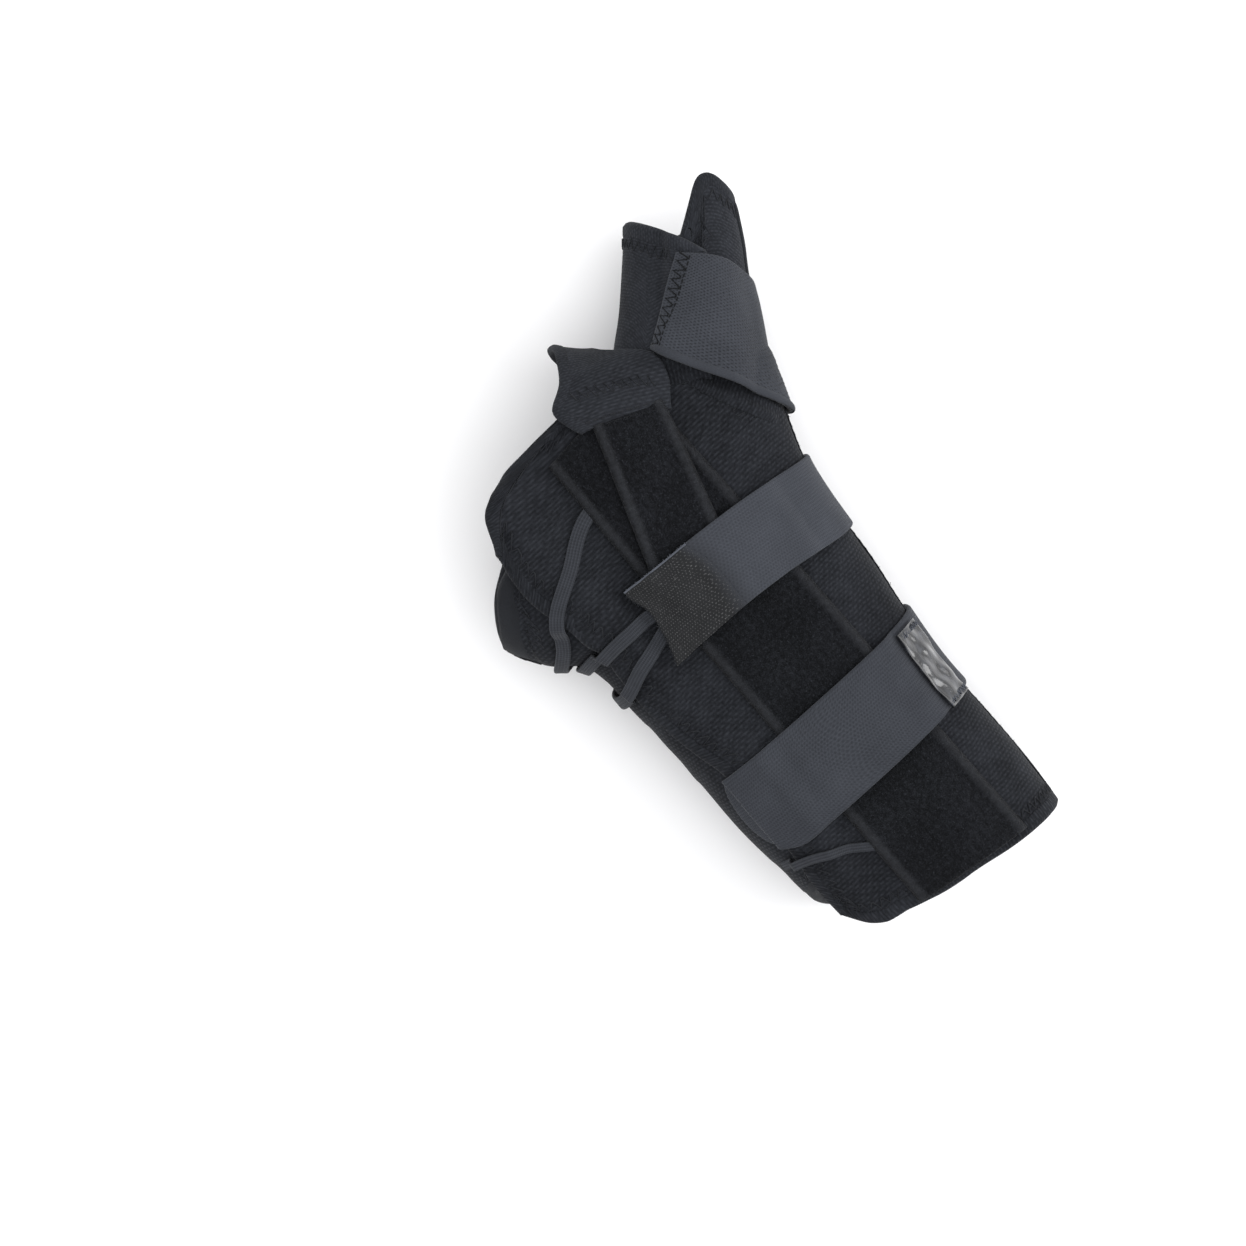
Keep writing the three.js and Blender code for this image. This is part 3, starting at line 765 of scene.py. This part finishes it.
def film_finish(name):
    """Glossy film over dark cloth, crinkled where it was pulled."""
    f = Finish(name, Specular_IOR_Level=0.5, Coat_Weight=0.8, Coat_Roughness=0.07)
    along, across, spot = f.cloth()
    creases = f.noise(spot, 0.2, 3.0, 0.55)
    folds = f.cells(f.place(along * 0.7 + creases * 2, across + creases * 2), 0.13, "SMOOTH_F1")
    haze = f.noise(spot, 0.3, 1.0).step(0.4, 0.75)
    return f.finish(f.mix(haze, dyed(0.008), dyed(0.04)), 0.25, creases + folds, 0.45)


def plain_finish(name, dark, light, roughness=0.9):
    """Smooth tape or thread with a fine grain."""
    f = Finish(name, Specular_IOR_Level=0.12, Sheen_Weight=0.04)
    along, across, spot = f.cloth()
    grain = f.noise(f.place(along, across * 2), 1.6, 2.0)
    wear = f.noise(spot, 0.12, 2.0)
    shade = grain * 0.5 + wear * 0.5
    return f.finish(f.mix(shade, dyed(dark), dyed(light)), roughness, grain, 0.15)


LOOP_SIZE = (163, 34)
WEB_PILE_SIZE = (46, 21.5)
KNIT = knit_finish("knit", 1.15, 2.1, 0.005, 0.031, 0.16)
SLEEVE = knit_finish("sleeve_knit", 0.9, 1.6, 0.009, 0.038, 0.12)
# a plush's third colour is the painted sheen highlight on its rolled edges
PLUSH = plush_finish("plush", 0.004, 0.021, 0.04, LOOP_SIZE[1])
WEB_PLUSH = plush_finish("web_plush", 0.0045, 0.024, 0.045, WEB_PILE_SIZE[1])
ELASTIC = elastic_finish("elastic", 0.029, 0.058, start=4)
FOREARM_ELASTIC = elastic_finish("forearm_elastic", 0.021, 0.049)
MESH_ELASTIC = mesh_finish("mesh_elastic", 0.012, 0.05)
HOOK = hook_finish("hook")
CORD = lace_finish("cord")
VINYL = film_finish("vinyl")
BINDING = plain_finish("binding", 0.006, 0.02)
THREAD = plain_finish("thread", 0.009, 0.024, 0.85)
# Dark thread, painted darker still as the shade in the pits the stitches sink into
THREAD_AND_PAINTED_PIT_SHADE = plain_finish("thread_and_painted_pit_shade", 0.003, 0.01, 0.9)
HEM = plain_finish("hem", 0.02, 0.05)
LINT = plain_finish("lint", 0.05, 0.12, 0.9)


# ---- Pieces ----


def link(name, data):
    """Puts a mesh, a curve, a lamp or a lens in the scene."""
    thing = bpy.data.objects.new(name, data)
    bpy.context.scene.collection.objects.link(thing)
    return thing


def map_cloth(mesh, where):
    """Lays the map that the finishes are drawn on: where gives a vertex its place in metres."""
    layer = mesh.loops.layers.uv.new("cloth")
    for face in mesh.faces:
        for loop in face.loops:
            loop[layer].uv = where(loop.vert)


def place_mesh(name, mesh, finish, node=None):
    """Puts a finished bmesh in the scene as a piece of the splint."""
    data = bpy.data.meshes.new(name)
    mesh.to_mesh(data)
    mesh.free()
    data.materials.append(finish)
    data.shade_smooth()
    piece = link(name, data)
    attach(piece, "root")
    if node:
        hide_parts(node)


def in_frame(points):
    return (points - MIDDLE) * MM


ROUNDING = np.array([0, 0.06, 0.2, 0.45, 1])  # shares of the margin at which a rim is cut


def stops(cells, size, margin):
    """Shares from 0 to 1 with closer steps inside a margin at both ends, to round them."""
    edge = ROUNDING * margin / size
    inner = np.linspace(edge[-1], 1 - edge[-1], cells + 3 - 2 * len(ROUNDING))
    return np.concatenate([edge[:-1], inner, 1 - edge[-2::-1]])


def slab(name, shape, size, cells, wall, finish, relief=None, pattern=None, node=None):
    """A piece of cloth: a grid laid in place, extruded to its wall, with its rim rounded."""
    length, width = size
    margin = wall / 2
    a_stops, b_stops = stops(cells[0], length, margin), stops(cells[1], width, margin)
    mesh = bmesh.new()
    long, wide = len(a_stops) - 1, len(b_stops) - 1
    bmesh.ops.create_grid(mesh, x_segments=long, y_segments=wide, size=0.5)
    under = bmesh.ops.extrude_face_region(mesh, geom=mesh.faces[:])
    lower = {v for v in under["geom"] if isinstance(v, bmesh.types.BMVert)}
    a, b = np.meshgrid(a_stops, b_stops, indexing="ij")
    rim = np.minimum(np.minimum(a, 1 - a) * length, np.minimum(b, 1 - b) * width) / margin
    swell = 0.2 + 0.8 * np.sqrt(1 - (1 - np.clip(rim, 0, 1)) ** 2)
    proud = relief(a, b) if relief else 0 * a
    upper_points = in_frame(shape(a, b, wall * (0.5 + 0.5 * swell) + proud * swell))
    lower_points = in_frame(shape(a, b, wall * (0.5 - 0.5 * swell)))
    u, v_map = pattern(a, b) if pattern else (a * length, b * width)
    places = {v: (round((v.co.x + 0.5) * long), round((v.co.y + 0.5) * wide)) for v in mesh.verts}
    map_cloth(mesh, lambda v: (u[places[v]] * MM, v_map[places[v]] * MM))
    for v, cell in places.items():
        v.co = (lower_points if v in lower else upper_points)[cell]
    bmesh.ops.recalc_face_normals(mesh, faces=mesh.faces)
    place_mesh(name, mesh, finish, node)


ARM_RADIUS = 30


def arm_pattern(patch):
    """Maps a panel so that its ribs run round the arm."""

    def pattern(a, b):
        x, turn = patch(a, b)
        return x, np.radians(turn) * ARM_RADIUS

    return pattern


def along_strap(width, length):
    """Maps a strap that is made across its length, so that its weave runs along it."""
    return lambda a, b: (b * length, a * width)


def bumps(distances, spread):
    """Round bumps, 1 high, where a distance is 0."""
    return sum(np.exp(-((distance / spread) ** 2)) for distance in distances)


def ripple(a, b, length, width, waves):
    """Soft unevenness of cloth: a few long waves, each with a height, two pitches and a phase."""
    u, v = a * length, b * width
    return sum(h * np.sin(2 * np.pi * (u * cu + v * cv) + phase) for h, cu, cv, phase in waves)


SOFT_WAVES = [(0.16, 0.031, 0.018, 0.4), (0.12, -0.022, 0.043, 2.1), (0.1, 0.057, -0.026, 4.0)]


RIM_CORNER = 3.0  # millimetres over which a rim turns from one side to the next
RIM_STEP = 1.0
SIDES = ("start", "proximal", "end", "distal")


class Rim:
    """A line on a piece: points along it, and how to step in from them by a distance.

    A side is the name of an edge, or a start, an end and the way in, in millimetres on the piece.
    """

    def __init__(self, shape, size, sides=SIDES):
        self.shape, self.size = shape, size
        length, width = size
        edges = {
            "start": ((0, 0), (length, 0), (0, 1)),
            "proximal": ((length, 0), (length, width), (-1, 0)),
            "end": ((length, width), (0, width), (0, -1)),
            "distal": ((0, width), (0, 0), (1, 0)),
        }
        points, inward = [], []
        for side in sides:
            start, end, normal = edges[side] if isinstance(side, str) else side
            count = int(np.hypot(*np.subtract(end, start)) / RIM_STEP)
            run = np.linspace(start, end, max(2, count))
            points.append(run)
            inward.append(np.tile(np.array(normal, float), (len(run), 1)))
        path, normals = np.concatenate(points), np.concatenate(inward)
        self.closed = sides == SIDES
        kernel = int(2 * RIM_CORNER / RIM_STEP) | 1
        half = kernel // 2
        padded = np.pad(normals, ((half, half), (0, 0)), mode="wrap" if self.closed else "edge")
        turned = np.stack([padded[i : i + len(normals)] for i in range(kernel)]).mean(0)
        self.path, self.normals = path, unit(turned + 1e-9)
        here = self.on_piece(path, 0)
        step = self.on_piece(path + self.normals, 0) - here
        line = unit(np.gradient(here, axis=0) + 1e-9)
        square = step - line * np.sum(step * line, axis=-1, keepdims=True)
        self.scale = np.maximum(np.linalg.norm(square, axis=-1), 0.35)
        self.inward = unit(square)

    def on_piece(self, places, height):
        """Points above places on the piece, which are in millimetres along and across it."""
        a, b = np.clip(places / self.size, 0, 1).T
        return self.shape(a, b, height)

    def at(self, distance, height):
        """Points a distance in from the line, or out if negative, and a height above the base."""
        inside = (max(distance, 0) / self.scale)[:, None]
        points = self.on_piece(self.path + self.normals * inside, height)
        return points + self.inward * min(distance, 0)

    def run(self):
        """Distance along the line, in millimetres, at each of its points."""
        return run_along(self.at(0, 1))


def lofted(name, rings, finish, closed):
    """A tube of cloth through lines of points along the piece, rings[0] to rings[-1] round it."""
    rings = np.array(rings)
    count, along = rings.shape[:2]
    mesh = bmesh.new()
    bmesh.ops.create_grid(mesh, x_segments=count, y_segments=along - 1, size=0.5)
    runs, girth = run_along(rings[0]), run_along(rings[:, 0])
    girth = np.append(girth, girth[-1] * 1.1)
    points = in_frame(rings)
    cells = {
        v: (round((v.co.x + 0.5) * count), round((v.co.y + 0.5) * (along - 1))) for v in mesh.verts
    }
    map_cloth(mesh, lambda v: (runs[cells[v][1]] * MM, girth[cells[v][0]] * MM))
    for v, (i, j) in cells.items():
        v.co = points[i % count, j]
    bmesh.ops.remove_doubles(mesh, verts=mesh.verts, dist=1e-6)
    if not closed:
        bmesh.ops.holes_fill(mesh, edges=[e for e in mesh.edges if e.is_boundary], sides=0)
    bmesh.ops.recalc_face_normals(mesh, faces=mesh.faces)
    place_mesh(name, mesh, finish)


def binding(name, rim, wall, width, proud, finish=BINDING, keep=1.0):
    """Turned tape round a rim: over the top, round the edge and under.

    keep is 1 where the tape stands proud and 0 where it is pressed flat.
    """
    profile = [
        (width, wall - 0.3),
        (width, wall + 0.1 * proud),
        (width * 0.9, wall + 0.8 * proud),
        (width * 0.5, wall + proud),
        (width * 0.15, wall + 0.85 * proud),
        (-0.35, wall * 0.82),
        (-0.7, wall * 0.5),
        (-0.35, wall * 0.18),
        (width * 0.15, -0.2),
        (width * 0.5, -0.3),
        (width * 0.8, 0.3),
    ]
    rings = [rim.at(d, np.minimum(h, wall) + np.maximum(h - wall, 0) * keep) for d, h in profile]
    if rim.closed:
        rings = [np.concatenate([ring, ring[:1]]) for ring in rings]
    lofted(name, rings, finish, rim.closed)


def welt(name, rim, wall, width, height, finish):
    """A soft ridge along a line on a piece, its ends drawn down."""
    run = rim.run()
    taper = np.minimum(np.minimum(run, run[-1] - run) / 3, 1) ** 0.5
    side = [(0.22, 0.85), (0.42, 0.35), (0.5, -0.3)]
    profile = [(-across, up) for across, up in side[::-1]] + [(0, 1)] + side + [(0, -0.5)]
    rings = [
        rim.at(1 + across * width, wall + np.maximum(up * height * taper, -0.3))
        for across, up in profile
    ]
    lofted(name, rings, finish, False)


def thread(name, lines, radius, finish):
    """Sewing thread along lines of points."""
    curve = bpy.data.curves.new(name, "CURVE")
    curve.dimensions = "3D"
    curve.bevel_depth = radius * MM
    curve.bevel_resolution = 0
    curve.use_fill_caps = True
    for line in lines:
        spline = curve.splines.new("POLY")
        spline.points.add(len(line) - 1)
        spline.points.foreach_set("co", np.c_[in_frame(np.array(line)), np.ones(len(line))].ravel())
    drawn = link(name + "_line", curve)
    bpy.context.view_layer.update()
    shown = drawn.evaluated_get(bpy.context.evaluated_depsgraph_get())
    mesh = bmesh.new()
    mesh.from_mesh(shown.to_mesh())
    bpy.data.objects.remove(drawn)
    map_cloth(mesh, lambda v: v.co.xy)
    place_mesh(name, mesh, finish)


def read(run, line, at):
    """A point of a line at a distance along it."""
    return [np.interp(at, run, line[:, i]) for i in range(3)]


def zigzag(name, rim, near, far, pitch, wall, radius=0.24, finish=THREAD):
    """Overlock stitches: a thread from near to far in from the rim and back."""
    chance = np.random.default_rng(len(name))
    run = rim.run()
    count = int(run[-1] / pitch * 2)
    inner, outer = rim.at(far, wall + radius * 0.4), rim.at(near, wall + radius * 0.8)
    line = []
    for k in range(count):
        side = lerp(inner, outer, chance.uniform(0, 0.22) if k % 2 else chance.uniform(0.8, 1))
        at = run[-1] * k / count + chance.uniform(-0.1, 0.1) * pitch
        line.append(read(run, side, at))
        if k % 2:
            line.append(read(run, side, at + pitch * 0.22))
    thread(name, [line], radius, finish)


def running(name, rim, inset, pitch, wall, finish):
    """A row of straight stitches."""
    radius = 0.2
    run, line = rim.run(), rim.at(inset, wall + radius * 0.5)
    starts = np.arange(pitch / 2, run[-1] - pitch, pitch)
    lines = [[read(run, line, at + pitch * share) for share in (0, 0.3, 0.62)] for at in starts]
    thread(name, lines, radius, finish)


def fibres(name, rim, inset, wall, count, length, finish, seed, radius=0.06):
    """Loose fibres that stand out of a frayed edge."""
    chance = np.random.default_rng(seed)
    run, line = rim.run(), rim.at(inset, wall)
    up = unit(rim.at(inset, wall + 1) - line)
    ways = unit(np.gradient(line, axis=0))
    lines = []
    for _ in range(count):
        at = chance.uniform(0, run[-1])
        here = np.array(read(run, line, at))
        i = int(np.searchsorted(run, at).clip(0, len(run) - 1))
        way = ways[i] * chance.uniform(-1, 1) - rim.inward[i] * chance.uniform(0, 1)
        way = unit(way + up[i] * chance.uniform(0, 0.5)) * length * chance.uniform(0.4, 1)
        bend = unit(ways[i] * chance.uniform(-1, 1) + up[i] * 0.3) * length * 0.2
        lines.append([here - way * 0.15, here + way * 0.5 + bend, here + way])
    thread(name, lines, radius, finish)


# Panels
BACK_SIZE, PALM_SIZE = (150, 78), (150, 112)


def under_straps(x, turn):
    """1 where a panel's own trim may stand proud, and 0 under the straps that cross it."""
    start, end = 2.5, 0.5  # distances beside a strap between which the trim sinks
    near, far = wrist_edges(np.clip(turn, *WRIST_RUN))
    wrist = ramp(x, near - start, near - end) * ramp(x, far + start, far + end)
    half = FOREARM_STRAP_WIDTH / 2
    return (1 - wrist) * (1 - ramp(abs(x - FOREARM_MIDDLE), half + start, half + end))


def loop_side(x, table_column):
    """How far towards the thumb one long edge of the loop panel runs."""
    stations = loop_edges(np.linspace(0, 1, 41))
    return np.interp(x / LENGTH, stations[table_column - 1], stations[table_column]) * WRIST_WIDTH


def back_relief(a, b):
    """Soft unevenness, and the seam of the stay pocket beside the loop panel."""
    x, turn = back_patch(a, b)
    y = on_arm(x, turn, WALL)[..., 1]
    seam = 0.4 * bumps([y - loop_side(x, 1) + 5], 0.8) * ramp(x, -70, -62)
    return (ripple(a, b, *BACK_SIZE, SOFT_WAVES) + seam) * under_straps(x, turn)


def palm_relief(a, b):
    x, turn = palm_patch(a, b)
    return ripple(a, b, *PALM_SIZE, SOFT_WAVES) * under_straps(x, turn + 360)


slab(
    "back_cloth", back_shape, BACK_SIZE, (200, 120), WALL, KNIT,
    back_relief, arm_pattern(back_patch), "back_panel",
)
slab(
    "palm_cloth", palm_shape, PALM_SIZE, (160, 120), WALL, KNIT,
    palm_relief, arm_pattern(palm_patch), "palm_panel",
)

RIDGE_INSET, RIDGE_SPREAD = 1.7, 1.3


def ridges(b, width, height):
    """Rolled edges along both long sides."""
    sides = (width * share - RIDGE_INSET for share in (b, 1 - b))
    return height * bumps(sides, RIDGE_SPREAD)


def loop_relief(a, b):
    little_x, _, thumb_x, _ = loop_edges(a)
    x = lerp(little_x, thumb_x, b) * LENGTH
    return ridges(b, LOOP_SIZE[1], 0.75) * (0.35 + 0.65 * under_straps(x, 0 * x))


slab(
    "loop_pile", loop_shape, LOOP_SIZE, (170, 80), STRAP, PLUSH,
    loop_relief, node="loop_panel",
)


# Web strap: bound knit through the web, and a plush strap sewn on it over the back
WEB_SIZE = (95, 18)
WEB_JOIN = 0.62  # share along the web strap at which its plush part begins
WEB_CLOTH_SIZE = (WEB_SIZE[0] * WEB_JOIN, WEB_SIZE[1])
# x and y of the plush part's corners: little side, then thumb side
WEB_PILE_CORNERS = np.array([[(-70, 3.9), (-25.6, -12.9)], [(-62.8, 23.5), (-21, 10.5)]])


def web_cloth_shape(a, b, height):
    wide = ramp(a, 0.62, 1)
    return web_shape(a * WEB_JOIN, lerp(-0.28 * wide, 1 + 0.18 * wide, b), height)


def web_pile_shape(a, b, height):
    little, thumb = WEB_PILE_CORNERS
    x, y = (lerp(lerp(*little[:, i], a), lerp(*thumb[:, i], a), b) for i in (0, 1))
    return on_arm(x, turn_at(x, y, OVER_BACK + LAYER), OVER_BACK + 1.1 * LAYER + height)


def web_relief(a, b):
    return ridges(b, WEB_PILE_SIZE[1], 0.65) * ramp(a, 1, 0.8)


slab(
    "web_cloth", web_cloth_shape, WEB_CLOTH_SIZE, (80, 40), WEB_STRAP, SLEEVE,
    node="web_strap",
)
slab(
    "web_pile", web_pile_shape, WEB_PILE_SIZE, (60, 50), WEB_STRAP, WEB_PLUSH,
    web_relief, node="web_strap",
)
web_rim = Rim(web_cloth_shape, WEB_CLOTH_SIZE, ("start",))
binding("web_binding", web_rim, WEB_STRAP, 2.6, 0.3, SLEEVE)
across_web = Rim(web_shape, WEB_SIZE, [((46.5, 0.5), (50, 17.5), (1, 0))])
zigzag("web_overlock", across_web, 0, 3.6, 2.4, WEB_STRAP)
across_join = Rim(web_cloth_shape, WEB_CLOTH_SIZE, ("proximal",))
running("web_join_stitches", across_join, 1.8, 2.2, WEB_STRAP, THREAD)
fibres("web_join_fray", across_join, 0, WEB_STRAP, 70, 1.2, THREAD, 3)


# Straps
def over_ridges(shape):
    """Low bumps where a strap crosses the loop panel's rolled edges."""

    def relief(a, b):
        x, y, z = np.moveaxis(shape(a, b, 0), -1, 0)
        sides = (y - loop_side(x, 1) - RIDGE_INSET, y - loop_side(x, 3) + RIDGE_INSET)
        return 0.3 * bumps(sides, 1.8) * (z > WRIST_DEPTH)

    return relief


WRIST_SIZE, HOOK_SIZE = (WRIST_STRAP_WIDTH, 150), (WRIST_STRAP_WIDTH, 26)
FOREARM_SIZE = (FOREARM_STRAP_WIDTH, 182)
for name, shape, size, cells, finish, slot, node in (
    ("wrist_elastic", wrist_shape, WRIST_SIZE, (30, 200), ELASTIC, "elastic", "wrist_strap"),
    ("hook_tape", hook_shape, HOOK_SIZE, (36, 36), HOOK, "hook", "wrist_hook_tab"),
    (
        "forearm_elastic", forearm_shape, FOREARM_SIZE, (36, 220), FOREARM_ELASTIC, "elastic",
        "forearm_strap",
    ),
):
    relief, pattern = over_ridges(shape), along_strap(*size)
    slab(name, shape, size, cells, STRAP, finish, relief, pattern, node)
hook_rim = Rim(hook_shape, HOOK_SIZE, ("distal",))
thread("hook_selvage", [hook_rim.at(0.25, STRAP - 0.1)], 0.3, LINT)
fibres("hook_fray", hook_rim, 0.3, STRAP - 0.1, 90, 0.9, LINT, 5, 0.05)
hook_end = Rim(hook_shape, HOOK_SIZE, ("start",))
fibres("hook_end_fray", hook_end, 0.3, STRAP, 50, 1.0, THREAD, 6)

# Pull tab
TAB_SIZE = (TAB_LENGTH, 13.4)
CREASES = [(0.2, 0.09, 0.05, 0.3), (0.14, -0.04, 0.16, 1.7), (0.06, 0.17, -0.12, 4)]


def film_relief(a, b):
    return ripple(a, b, *TAB_SIZE, CREASES)


slab(
    "pull_film", tab_shape, TAB_SIZE, (70, 50), FILM, VINYL,
    film_relief, node="pull_tab",
)
for name, side in (("pull_stitches", "distal"), ("pull_end_stitches", "proximal")):
    zigzag(name, Rim(tab_shape, TAB_SIZE, (side,)), 0.5, 2.3, 1.1, FILM, 0.16, LINT)

# Laces
for name, (width, _, rows) in LACES.items():
    shape = lace_shape(width, rows)
    slab(name + "_band", shape, (60, width), (80, 14), LACE, CORD, node=name)

# Thumb sleeve
FLAP_SIZE, STAY_SIZE, THUMB_STRAP_SIZE = (40, 60), (48, 56), (30, 62)
slab("flap_cloth", flap_shape, FLAP_SIZE, (60, 100), SLEEVE_WALL, SLEEVE, node="thumb_flap")
slab(
    "stay_cloth", stay_shape, STAY_SIZE, (70, 100), SLEEVE_WALL, SLEEVE,
    node="thumb_stay_panel",
)
slab(
    "thumb_elastic", thumb_strap_shape, THUMB_STRAP_SIZE, (60, 120), STRAP, MESH_ELASTIC,
    node="thumb_strap",
)

# A fold of knit on the back panel below the thumb strap: share along it; share of LENGTH, turn
fold_path = Smooth([
    (0, -0.3145, 39.7), (0.25, -0.285, 41.4), (0.5, -0.253, 47.6), (0.75, -0.2185, 57.5),
    (1, -0.19, 68.5),
])
FOLD_SIZE = (34, 6)


def fold_shape(a, b, height):
    x, turn = fold_path(a)
    side = (b - 0.5) * FOLD_SIZE[1]
    return on_arm(x * LENGTH - 0.49 * side, turn + 1.74 * side, WALL - 0.3 + height)


def fold_relief(a, b):
    return 1.1 * bumps([b * FOLD_SIZE[1] - 1.6], 1.2) * ramp(a, 0, 0.2) * ramp(a, 1, 0.85)


slab("thumb_fold", fold_shape, FOLD_SIZE, (50, 24), 0.6, KNIT, fold_relief)


# corners of the gusset: its web end, then its forearm end
GUSSET_CORNERS = np.array([[(-69.5, 20, 46), (-76, 24.5, 44.2)], [(-58, 38, 45), (-65, 41, 48.5)]])


def gusset_shape(a, b, height):
    """Knit that closes the corner between the back panel, the web strap and the thumb sleeve."""
    a, b, height = (value[..., None] for value in np.broadcast_arrays(a, b, height))
    near, far = (lerp(*end, b) for end in GUSSET_CORNERS)
    return lerp(near, far, a) + height * np.array([0, 0, 1.0])


slab("thumb_gusset", gusset_shape, (21, 8), (30, 16), 0.8, KNIT)

# Bindings and stitches
for name, shape, patch, size, once_round, proud, finish in (
    ("back", back_shape, back_patch, BACK_SIZE, 0, 0.3, KNIT),
    ("palm", palm_shape, palm_patch, PALM_SIZE, 360, 0.25, BINDING),
):
    rim = Rim(shape, size)
    x, turn = patch(*(rim.path / size).T)
    keep = under_straps(x, turn + once_round)
    binding(name + "_binding", rim, WALL, 3.5, proud, finish=finish, keep=keep)
    zigzag(name + "_overlock", rim, 3.8, 6.6, 2.8, WALL)
thumb_side = Rim(back_shape, BACK_SIZE, ("end",))
fibres("side_fray", thumb_side, 0.4, WALL + 0.2, 260, 1.6, THREAD, 11)
flap_rim = Rim(flap_shape, FLAP_SIZE, ("end", "distal"))
binding("flap_binding", flap_rim, SLEEVE_WALL, 3.2, 0.2, finish=SLEEVE)
zigzag("flap_overlock", flap_rim, 3.6, 6.6, 2.6, SLEEVE_WALL)
stay_pocket = Rim(stay_shape, STAY_SIZE, [((1.5, 23), (26, 27), (0, 1))])
welt("stay_pocket", stay_pocket, SLEEVE_WALL, 3.2, 0.75, BINDING)
stay_rim = Rim(stay_shape, STAY_SIZE, ("distal", "start"))
binding("stay_binding", stay_rim, SLEEVE_WALL, 3.2, 0.2, finish=SLEEVE)
zigzag("stay_overlock", stay_rim, 3.6, 6.6, 2.6, SLEEVE_WALL)
strap_top = Rim(thumb_strap_shape, THUMB_STRAP_SIZE, ("start",))
# these stitches are dark thread, with painted shade of their pits in the same colour
zigzag("thumb_strap_overlock", strap_top, 0.6, 3.6, 2.6, STRAP, 0.26, THREAD_AND_PAINTED_PIT_SHADE)
running("thumb_strap_stitches", strap_top, 4.0, 1.6, STRAP, THREAD_AND_PAINTED_PIT_SHADE)
strap_hem = Rim(thumb_strap_shape, THUMB_STRAP_SIZE, ("proximal",))
welt("thumb_strap_hem", strap_hem, STRAP, 2.6, 0.6, HEM)


# ---- Middle lines of the laces in the frame, worked out but not kept ----

shares = np.linspace(0, 1, 31)
for name, (width, length, rows) in LACES.items():
    path = in_frame(lace_shape(width, rows)(shares, 0.5, LACE / 2))


# ---- Stage ----


def stage():
    floor_mesh = bmesh.new()
    bmesh.ops.create_grid(floor_mesh, x_segments=1, y_segments=1, size=1.5)
    data = bpy.data.meshes.new("floor")
    floor_mesh.to_mesh(data)
    floor_mesh.free()
    pale = (0.93, 0.93, 0.94, 1)
    finish = Finish("pale_floor", Specular_IOR_Level=0.1, Roughness=1.0, Base_Color=pale)
    data.materials.append(finish.material)
    link("floor", data)
    world = bpy.data.worlds.new("studio")
    world.use_nodes = True
    sky = world.node_tree.nodes["Background"].inputs
    sky["Color"].default_value, sky["Strength"].default_value = (1, 1, 1, 1), 1.05
    bpy.context.scene.world = world
    # lamp: place and size in metres, power in watts
    lamps = {
        "overhead": ((0.1, 0.1, 1.3), 1.2, 6),
        "thumb_side": ((0.5, 1.0, 0.7), 0.8, 7),
        "finger_side": ((-0.9, -0.3, 0.8), 0.8, 2),
    }
    for name, (place, size, power) in lamps.items():
        lamp = bpy.data.lights.new(name, "AREA")
        lamp.shape, lamp.size, lamp.energy = "DISK", size, power
        light = link(name, lamp)
        light.location = place
        light.rotation_mode = "QUATERNION"
        light.rotation_quaternion = (-Vector(place)).to_track_quat("-Z", "Y")
    bpy.context.scene.view_settings.view_transform = "Standard"


TILT, ROLL = np.radians(6), np.radians(47.94)
TARGET = np.array([-0.01904, -0.03696, 0.028])
DISTANCE = 1.1


def camera():
    """Looks down on the splint, from 6 degrees to its finger side."""
    away = np.array([np.cos(TILT), 0, np.sin(TILT)])
    back = np.array([-np.sin(TILT), 0, np.cos(TILT)])
    side = np.array([0, 1, 0])
    right = away * np.cos(ROLL) + side * np.sin(ROLL)
    up = side * np.cos(ROLL) - away * np.sin(ROLL)
    lens = bpy.data.cameras.new("camera")
    lens.sensor_width, lens.lens = 36, 112.5
    view = link("camera", lens)
    turn = Matrix([right, up, back]).transposed().to_4x4()
    view.matrix_world = Matrix.Translation(Vector(TARGET + back * DISTANCE)) @ turn
    bpy.context.scene.camera = view


stage()
camera()
